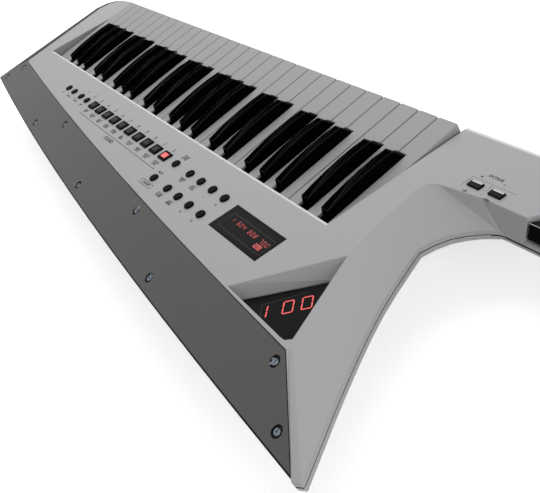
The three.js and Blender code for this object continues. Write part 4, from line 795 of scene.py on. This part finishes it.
class KEYBOARD_OT_shell(bpy.types.Operator):
    """Upper and lower housing and the key chassis"""
    bl_idname = "keyboard.shell"
    bl_label = "Housing"

    def execute(self, context):
        settings = context.scene.keyboard_shell
        self.paint_neck_highlight(finish("housing_plastic"), settings)
        tests = {"plain": self.around_controls, "soft": self.on_horn}
        upper = refined("top_cover", "housing_top", "housing_plastic", settings.edge, **tests)
        self.paint_highlights_and_end_band(upper)
        stands_for(upper, BODY, "shell_plastic", "top_cover")
        lower = refined("bottom_cover", "housing_bottom", "underside_finish", settings.edge)
        for cover in (upper, lower):
            self.shade_seam(cover)
        self.dress_underside(lower)
        stands_for(lower, BODY, "underside_plastic", "bottom_cover")
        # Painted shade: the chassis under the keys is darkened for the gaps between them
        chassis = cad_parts["key_chassis"]
        chassis.data.materials.clear()
        chassis.data.materials.append(finish("zinc_plate"))
        return {"FINISHED"}

    def around_controls(self, edge):
        """True for the rims of the openings for buttons and display, and for edges by the number window."""
        short = edge.calc_length() < RIM_LENGTH
        by_button = short and (lies_in(edge, OCTAVE_BOX) or lies_in(edge, CONTROLS_BOX))
        return by_button or lies_in(edge, DISPLAY_BOX) or lies_in(edge, NUMBER_BOX, NEAR)

    def on_horn(self, edge):
        """True for the shallow creases between the facets of the horn's hollow side."""
        low, high = sorted((TO_PANEL @ vert.co for vert in edge.verts), key=lambda p: p.z)
        between = abs(high.z) < NEAR and abs(low.z + HORN_DROP) < LOOSE
        return between and HORN_ENDS[0] < low.x < HORN_ENDS[1] and edge.calc_face_angle(0) < HORN_CREASE

    def paint_neck_highlight(self, material, settings):
        """Paints a highlight on the neck's far edge: a narrow light band past the keys' bass end."""
        tree = material.node_tree
        shader = tree.nodes["Principled BSDF"]
        plain = shader.inputs["Base Color"].links[0].from_socket
        place = new_node(tree, "ShaderNodeTexCoord").outputs["Object"]
        axes = new_node(tree, "ShaderNodeSeparateXYZ", {0: place}).outputs
        past_keys = maths(tree, "LESS_THAN", axes["X"], ORIGIN.x - NECK_START * MM)
        in_front = maths(tree, "LESS_THAN", axes["Y"], ORIGIN.y - settings.neck_highlight_start)
        on_top = maths(tree, "GREATER_THAN", axes["Z"], ORIGIN.z - NECK_HIGHLIGHT_DROP * MM)
        inside = maths(tree, "MULTIPLY", maths(tree, "MULTIPLY", past_keys, in_front), on_top)
        inputs = {"Factor": inside, "A": plain, "B": tuple(settings.neck_highlight)}
        mix = new_node(tree, "ShaderNodeMix", inputs, data_type="RGBA")
        feed(tree, shader, {"Base Color": mix.outputs["Result"]})

    def paint_highlights_and_end_band(self, cover):
        """Paints a highlight on the chamfers behind the keys and along the neck, and a darker band on the
        facet along the bass end.
        """
        bright = with_finishes(cover, "polished_rim", "end_metal")
        for face in cover.data.polygons:
            x, s, z = panel_place(face.center)
            behind_keys = 0 < s < CHAMFER_WIDTH
            along_neck = x < NECK_CHAMFER[0] and s + SLOT_T < NECK_CHAMFER[1]
            slopes = face.normal.y < -0.3 and face.normal.z > 0.3
            # Painted highlight on the sloping chamfer faces
            if slopes and (behind_keys or along_neck) and -CHAMFER_DROP < z < 0.05:
                face.material_index = bright
            # A darker band on the facets along the bass end
            if x > END_START and face.normal.x > 0.1 and 0.85 < face.normal.z < 0.99 and z > -END_DROP:
                face.material_index = bright + 1

    def dress_underside(self, cover):
        """Gives the feet, the strap pins and the socket collars of the lower housing their own finishes, and
        paints shade in the socket holes.
        """
        first = with_finishes(cover, "foot_rubber", "pin_steel", "socket_shade")
        for face in cover.data.polygons:
            x, y, z = face.center / MM
            from_socket = min(math.dist((x, y), socket) for socket in SOCKETS)
            on_pin = z < NECK_PIN_HIGH and math.dist((x, y), NECK_PIN) < PIN_REACH
            on_pin = on_pin or (x > END_PIN_START and math.dist((y, z), END_PIN) < PIN_REACH)
            if z < FEET_BELOW:
                face.material_index = first
            elif on_pin or (COLLAR_LOW < z < BAY_CEILING and from_socket < COLLAR_RADIUS):
                face.material_index = first + 1
            # Painted shade in the socket holes
            if COLLAR_LOW < z < BAY_CEILING and from_socket < SOCKET_HOLE_RADIUS:
                face.material_index = first + 2

    def shade_seam(self, cover):
        """Paints shade on the lips of the joint between the two halves of the housing, where the gap looks
        dark.
        """
        dark = with_finishes(cover, "seam_shade")
        for face in cover.data.polygons:
            if abs((TO_PANEL @ face.center).z + PARTING_DROP) < LIP:
                face.material_index = dark


class KEYBOARD_OT_blade(bpy.types.Operator):
    """Satin metal blade with its socket screws"""
    bl_idname = "keyboard.blade"
    bl_label = "Blade"

    def execute(self, context):
        controls = context.scene.keyboard_controls
        places, turn = self.screw_places()
        blade = refined("edge_blade", "blade", "satin_blade", BLADE_EDGE, rim="blade_rim")
        # Painted shade: the small faces of the screw pockets take the dark rim colour
        for face in blade.data.polygons:
            away = min((face.center - place).length for place in places)
            if face.area < POCKET_FACET and away < POCKET_REACH:
                face.material_index = 1
        stands_for(blade, BODY, "blade_metal", "edge_blade")
        screws = grown_from_points(
            "blade_screws", places, socket_screw_tree(), turn, "screw_steel",
            Radius=controls.screw_radius, Rise=0.85 * MM, Edge=0.35 * MM, Socket=controls.socket_radius,
        )
        stands_for(screws, BODY, "blade_metal")
        return {"FINISHED"}

    def screw_places(self):
        """Centres of the screw heads' seats and the turn of the blade's face, from the frame's blade."""
        bm = flattened("edge_blade")
        faces = [f for f in bm.faces if len(f.verts) == 6 and f.calc_area() < SEAT_FACET]
        normal = sum((f.normal for f in faces), Vector()).normalized()
        seats = [f.calc_center_median() for f in faces if f.normal.dot(normal) > 0.9]
        bm.free()
        return seats, normal.to_track_quat("Z", "X").to_euler()


class KEYBOARD_OT_keys(bpy.types.Operator):
    """White and black keys with rounded edges"""
    bl_idname = "keyboard.keys"
    bl_label = "Keys"

    def execute(self, context):
        settings = context.scene.keyboard_keys
        sizes = {"edge": settings.white_edge, "corner": settings.white_corner}
        for node in WHITE_KEYS:
            name = node.replace("white_key", "key_white")
            key = refined(node, name, "white_key_finish", segments=3, **sizes)
            stands_for(key, node, "white_key_plastic", node)
        # Painted highlight: the rounded edges of the black keys take the lighter edge colour
        sizes = {"edge": settings.black_edge, "rim": "black_key_rim"}
        for node in BLACK_KEYS:
            name = node.replace("black_key", "key_black")
            key = refined(node, name, "black_key_finish", segments=3, **sizes)
            stands_for(key, node, "black_key_plastic", node)
        return {"FINISHED"}


class KEYBOARD_OT_buttons(bpy.types.Operator):
    """Panel buttons, octave buttons, modulation bar and ribbon"""
    bl_idname = "keyboard.buttons"
    bl_label = "Controls"

    def execute(self, context):
        settings = context.scene.keyboard_controls
        mat = refined("button_mat", "button_mat_sheet", "button_rubber", MAT_EDGE)
        stands_for(mat, BODY, "button_silicone", "button_mat")
        rounds = [(x, row) for row in (UPPER_ROW, LOWER_ROW) for x in ROUND_CAPS]
        rounds += [(x, UPPER_ROW) for x in SMALL_CAPS]
        blocks = [(x, UPPER_ROW) for x in RECT_CAPS]
        block_sizes = {"Width": settings.cap_width, "Depth": settings.cap_depth}
        rise = settings.cap_rise + (-CAP_FOOT - CAP_ROUNDING) * MM
        for name, places, tree, sizes in (
            ("round_buttons", rounds, round_cap_tree(), {"Radius": settings.cap_radius}),
            ("tone_buttons", blocks, rectangle_cap_tree(), block_sizes),
        ):
            points = [on_panel(x, s, CAP_FOOT) for x, s in places]
            sizes.update(Rise=rise, Edge=settings.cap_edge)
            caps = grown_from_points(name, points, tree, Euler((PANEL_TILT, 0, 0)), "button_rubber", **sizes)
            stands_for(caps, BODY, "button_silicone")
        self.button_windows(settings)
        self.octave_buttons()
        self.modulation_bar()
        return {"FINISHED"}

    def button_windows(self, settings):
        half_width, half_depth = 4.3, 2.9
        top = settings.cap_rise / MM + 0.05
        low, high = (SLOT_T + UPPER_ROW + side * half_depth for side in (-1, 1))
        for name, places, paint in (
            ("button_windows", RECT_CAPS[1:], "button_window"), ("lit_window", RECT_CAPS[:1], "lit_button"),
        ):
            plans = [rectangle(x - half_width, x + half_width, low, high) for x in places]
            plates = [slab(plan, top - 0.3, top + 0.02) for plan in plans]
            piece(name, plates, paint, "button_silicone")

    def octave_buttons(self):
        wide, deep = OCTAVE_SHARE[:2]
        for node in ("octave_up_button", "octave_down_button"):
            body = node.replace("_button", "")
            corners = [TO_PANEL @ vert.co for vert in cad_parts[node].data.vertices]
            x0, x1 = (edge(c.x for c in corners) for edge in (min, max))
            t0, t1 = (edge(c.y for c in corners) for edge in (min, max))
            middle = Vector(((x0 + x1) / 2, (t0 + t1) / 2, 0))
            narrow = Matrix.Diagonal((*OCTAVE_SHARE, 1))
            narrow = Matrix.Translation(middle) @ narrow @ Matrix.Translation(-middle)
            cap = refined(node, node + "_cap", "gloss_black", BUTTON_EDGE, segments=3)
            cap.data.transform(PANEL_MATRIX @ narrow @ TO_PANEL)
            stands_for(cap, body, "octave_button_plastic", node)
            half, depth = (x1 - x0) * wide / 2, (t1 - t0) * deep / 2
            front = middle.y - depth
            # Painted highlight: a light strip along the front of the octave button's top
            plan = rectangle(middle.x - half + 1.0, middle.x + half - 1.0, front + 0.3, front + 1.9)
            strip = [slab(plan, 1.0, 1.25)]
            piece(node + "_strip", strip, "bright_strip", "octave_button_plastic", body)
            self.surround(node, (x0, x1, t0, t1), middle, half + 0.15, depth + 0.15)

    def surround(self, node, hole, middle, half, depth):
        """A plate round a button that fills its dish to just under the panel."""
        x0, x1, t0, t1 = hole
        outer = rectangle(x0 - DISH_LAP, x1 + DISH_LAP, t0 - DISH_LAP, t1 + DISH_LAP)
        inner = rectangle(middle.x - half, middle.x + half, middle.y - depth, middle.y + depth)
        sides = [(outer[i - 1], outer[i], inner[i], inner[i - 1]) for i in (1, 2, 3, 0)]
        plates = [slab(side, *DISH_PLATE) for side in sides]
        closed = [(verts, faces[:3] + faces[4:5]) for verts, faces in plates]
        piece(node + "_surround", closed, "housing_plastic", "shell_plastic")

    def modulation_bar(self):
        names = ("modulation_bar", "modulation_bar_cover", "gloss_black")
        # Painted highlight: the bar's upward rounded edges take the light strip colour
        bar = refined(*names, BAR_EDGE, segments=3, rim="bright_strip")
        for face in bar.data.polygons:
            if face.normal.z < 0.4:
                face.material_index = 0
        stands_for(bar, "modulation_bar", "bar_plastic", "modulation_bar")
        ribbon = refined("ribbon_controller", "ribbon_strip", "ribbon_surface", WINDOW_EDGE)
        stands_for(ribbon, BODY, "ribbon_film", "ribbon_controller")


class KEYBOARD_OT_displays(bpy.types.Operator):
    """Display window, sunk number window and their lit digits"""
    bl_idname = "keyboard.displays"
    bl_label = "Displays"

    def execute(self, context):
        window = refined("display_window", "display_lens", "window_glass", WINDOW_EDGE)
        stands_for(window, BODY, "display_lens", "display_window")
        plan = rectangle(*FACE_BOX, SLOT_T)
        piece("display_face", [slab(plan, -0.1, 0.04)], "display_face", "display_lens")
        outline = rectangle(*OUTLINE_BOX, SLOT_T)
        strokes = self.strokes([*outline, outline[0]], 0.04)
        row = row_matrix(73.4, SLOT_T + 44.0, 0.06, math.pi + math.radians(-1.4))
        digits("display_row", "1 604 808 700", row, (2.3, 3.7, 0.42, 4.5), "dim_segments", "display_lens")
        plan = rectangle(*BLOCK_BOX, SLOT_T)
        piece("display_block", [slab(plan, 0.02, 0.1)], "dim_segments", "display_lens")
        row = row_matrix(27.6, SLOT_T + 50.3, 0.1)
        digits("display_count", "960", row, (1.7, 3.0, 0.6, 3.1), "display_face", "display_lens")
        sunk = refined("number_window", "number_lens", "display_face", WINDOW_EDGE)
        stands_for(sunk, BODY, "number_lens", "number_window")
        along = Vector((math.cos(NUMBER_READING), math.sin(NUMBER_READING)))
        tens = Vector(NUMBER_TENS)
        hundred = tens - along * TENS_TO_HUNDRED
        for name, text, place in (("number_hundred", "1", hundred), ("number_tens", "00", tens)):
            row = row_matrix(place.x, place.y, NUMBER_FLOOR, NUMBER_READING)
            digits(name, text, row, (7.2, 11.5, 0.95, 13.5), "lit_segments", "number_lens")
        edge = [(x, SLOT_T + s) for x, s in NUMBER_EDGE]
        strokes += self.strokes(edge, NUMBER_FLOOR)
        piece("display_outlines", strokes, "display_outline", "display_lens")
        return {"FINISHED"}

    def strokes(self, corners, height, width=0.4):
        """Fine straight lines from corner to corner, on the panel or at a depth under it."""
        plates = []
        for first, last in zip(map(Vector, corners), map(Vector, corners[1:])):
            along = (last - first).normalized()
            side = Vector((-along.y, along.x)) * width / 2
            plan = [tuple(p) for p in (first - side, last - side, last + side, first + side)]
            plates.append(slab(plan, height - 0.02, height + 0.04))
        return plates


class KEYBOARD_OT_prints(bpy.types.Operator):
    """Printed numbers, lines and marks on the panel"""
    bl_idname = "keyboard.prints"
    bl_label = "Prints"

    def execute(self, context):
        lines = []
        for left, right, s, width in PRINTED_LINES:
            plan = rectangle(left, right, SLOT_T + s - width / 2, SLOT_T + s + width / 2)
            lines.append(slab(plan, -0.02, 0.03))
        piece("panel_lines", lines, "panel_ink", "shell_plastic")
        parts = [
            self.legend(context.scene.keyboard_prints, word, x, s, scale)
            for words, places, s, scale in WORD_ROWS for word, x in zip(words, places)
        ]
        stands_for(joined("panel_legends", parts, finish("panel_ink")), BODY, "shell_plastic")
        return {"FINISHED"}

    def legend(self, settings, text, x, s, scale):
        """One word on the panel, read from the audience side, as vertices and faces."""
        curve = bpy.data.curves.new("legend", "FONT")
        curve.body = text
        curve.align_x = curve.align_y = "CENTER"
        curve.size = settings.text / MM * scale
        curve.offset = curve.size * settings.weight
        curve.space_line = 0.75
        curve.extrude = 0.02
        curve.resolution_u = 2
        written = bpy.data.objects.new("legend", curve)
        bpy.context.scene.collection.objects.link(written)
        mesh = evaluated_mesh(written)
        matrix = row_matrix(x, SLOT_T + s, 0.02)
        part = [matrix @ v.co for v in mesh.vertices], [tuple(p.vertices) for p in mesh.polygons]
        bpy.data.objects.remove(written)
        bpy.data.curves.remove(curve)
        bpy.data.meshes.remove(mesh)
        return part


class KEYBOARD_PT_panel(bpy.types.Panel):
    """Lists the pieces of the keyboard"""
    bl_label = "Shoulder keyboard"
    bl_idname = "KEYBOARD_PT_panel"
    bl_space_type = "VIEW_3D"
    bl_region_type = "UI"
    bl_category = "Keyboard"

    def draw(self, context):
        for name, operator in PIECES:
            block = self.layout.box()
            block.operator("keyboard." + operator)
            settings = getattr(context.scene, "keyboard_" + name)
            for prop in settings.bl_rna.properties:
                if prop.identifier not in {"rna_type", "name"}:
                    block.prop(settings, prop.identifier)


# Settings and operator of each group of pieces, in building order
PIECES = (
    ("stage", "stage"), ("shell", "shell"), ("shell", "blade"), ("keys", "keys"),
    ("controls", "buttons"), ("controls", "displays"), ("prints", "prints"),
)
SETTINGS = {
    "shell": KEYBOARD_PG_shell,
    "keys": KEYBOARD_PG_keys,
    "controls": KEYBOARD_PG_controls,
    "prints": KEYBOARD_PG_prints,
    "stage": KEYBOARD_PG_stage,
}
CLASSES = (
    *SETTINGS.values(), KEYBOARD_OT_stage, KEYBOARD_OT_shell, KEYBOARD_OT_blade, KEYBOARD_OT_keys,
    KEYBOARD_OT_buttons, KEYBOARD_OT_displays, KEYBOARD_OT_prints, KEYBOARD_PT_panel,
)


def register():
    for cls in CLASSES:
        bpy.utils.register_class(cls)
    for name, group in SETTINGS.items():
        setattr(bpy.types.Scene, "keyboard_" + name, PointerProperty(type=group))


def unregister():
    for name in SETTINGS:
        delattr(bpy.types.Scene, "keyboard_" + name)
    for cls in reversed(CLASSES):
        bpy.utils.unregister_class(cls)


def main():
    register()
    for _, operator in PIECES:
        getattr(bpy.ops.keyboard, operator)()


if __name__ == "__main__":
    main()
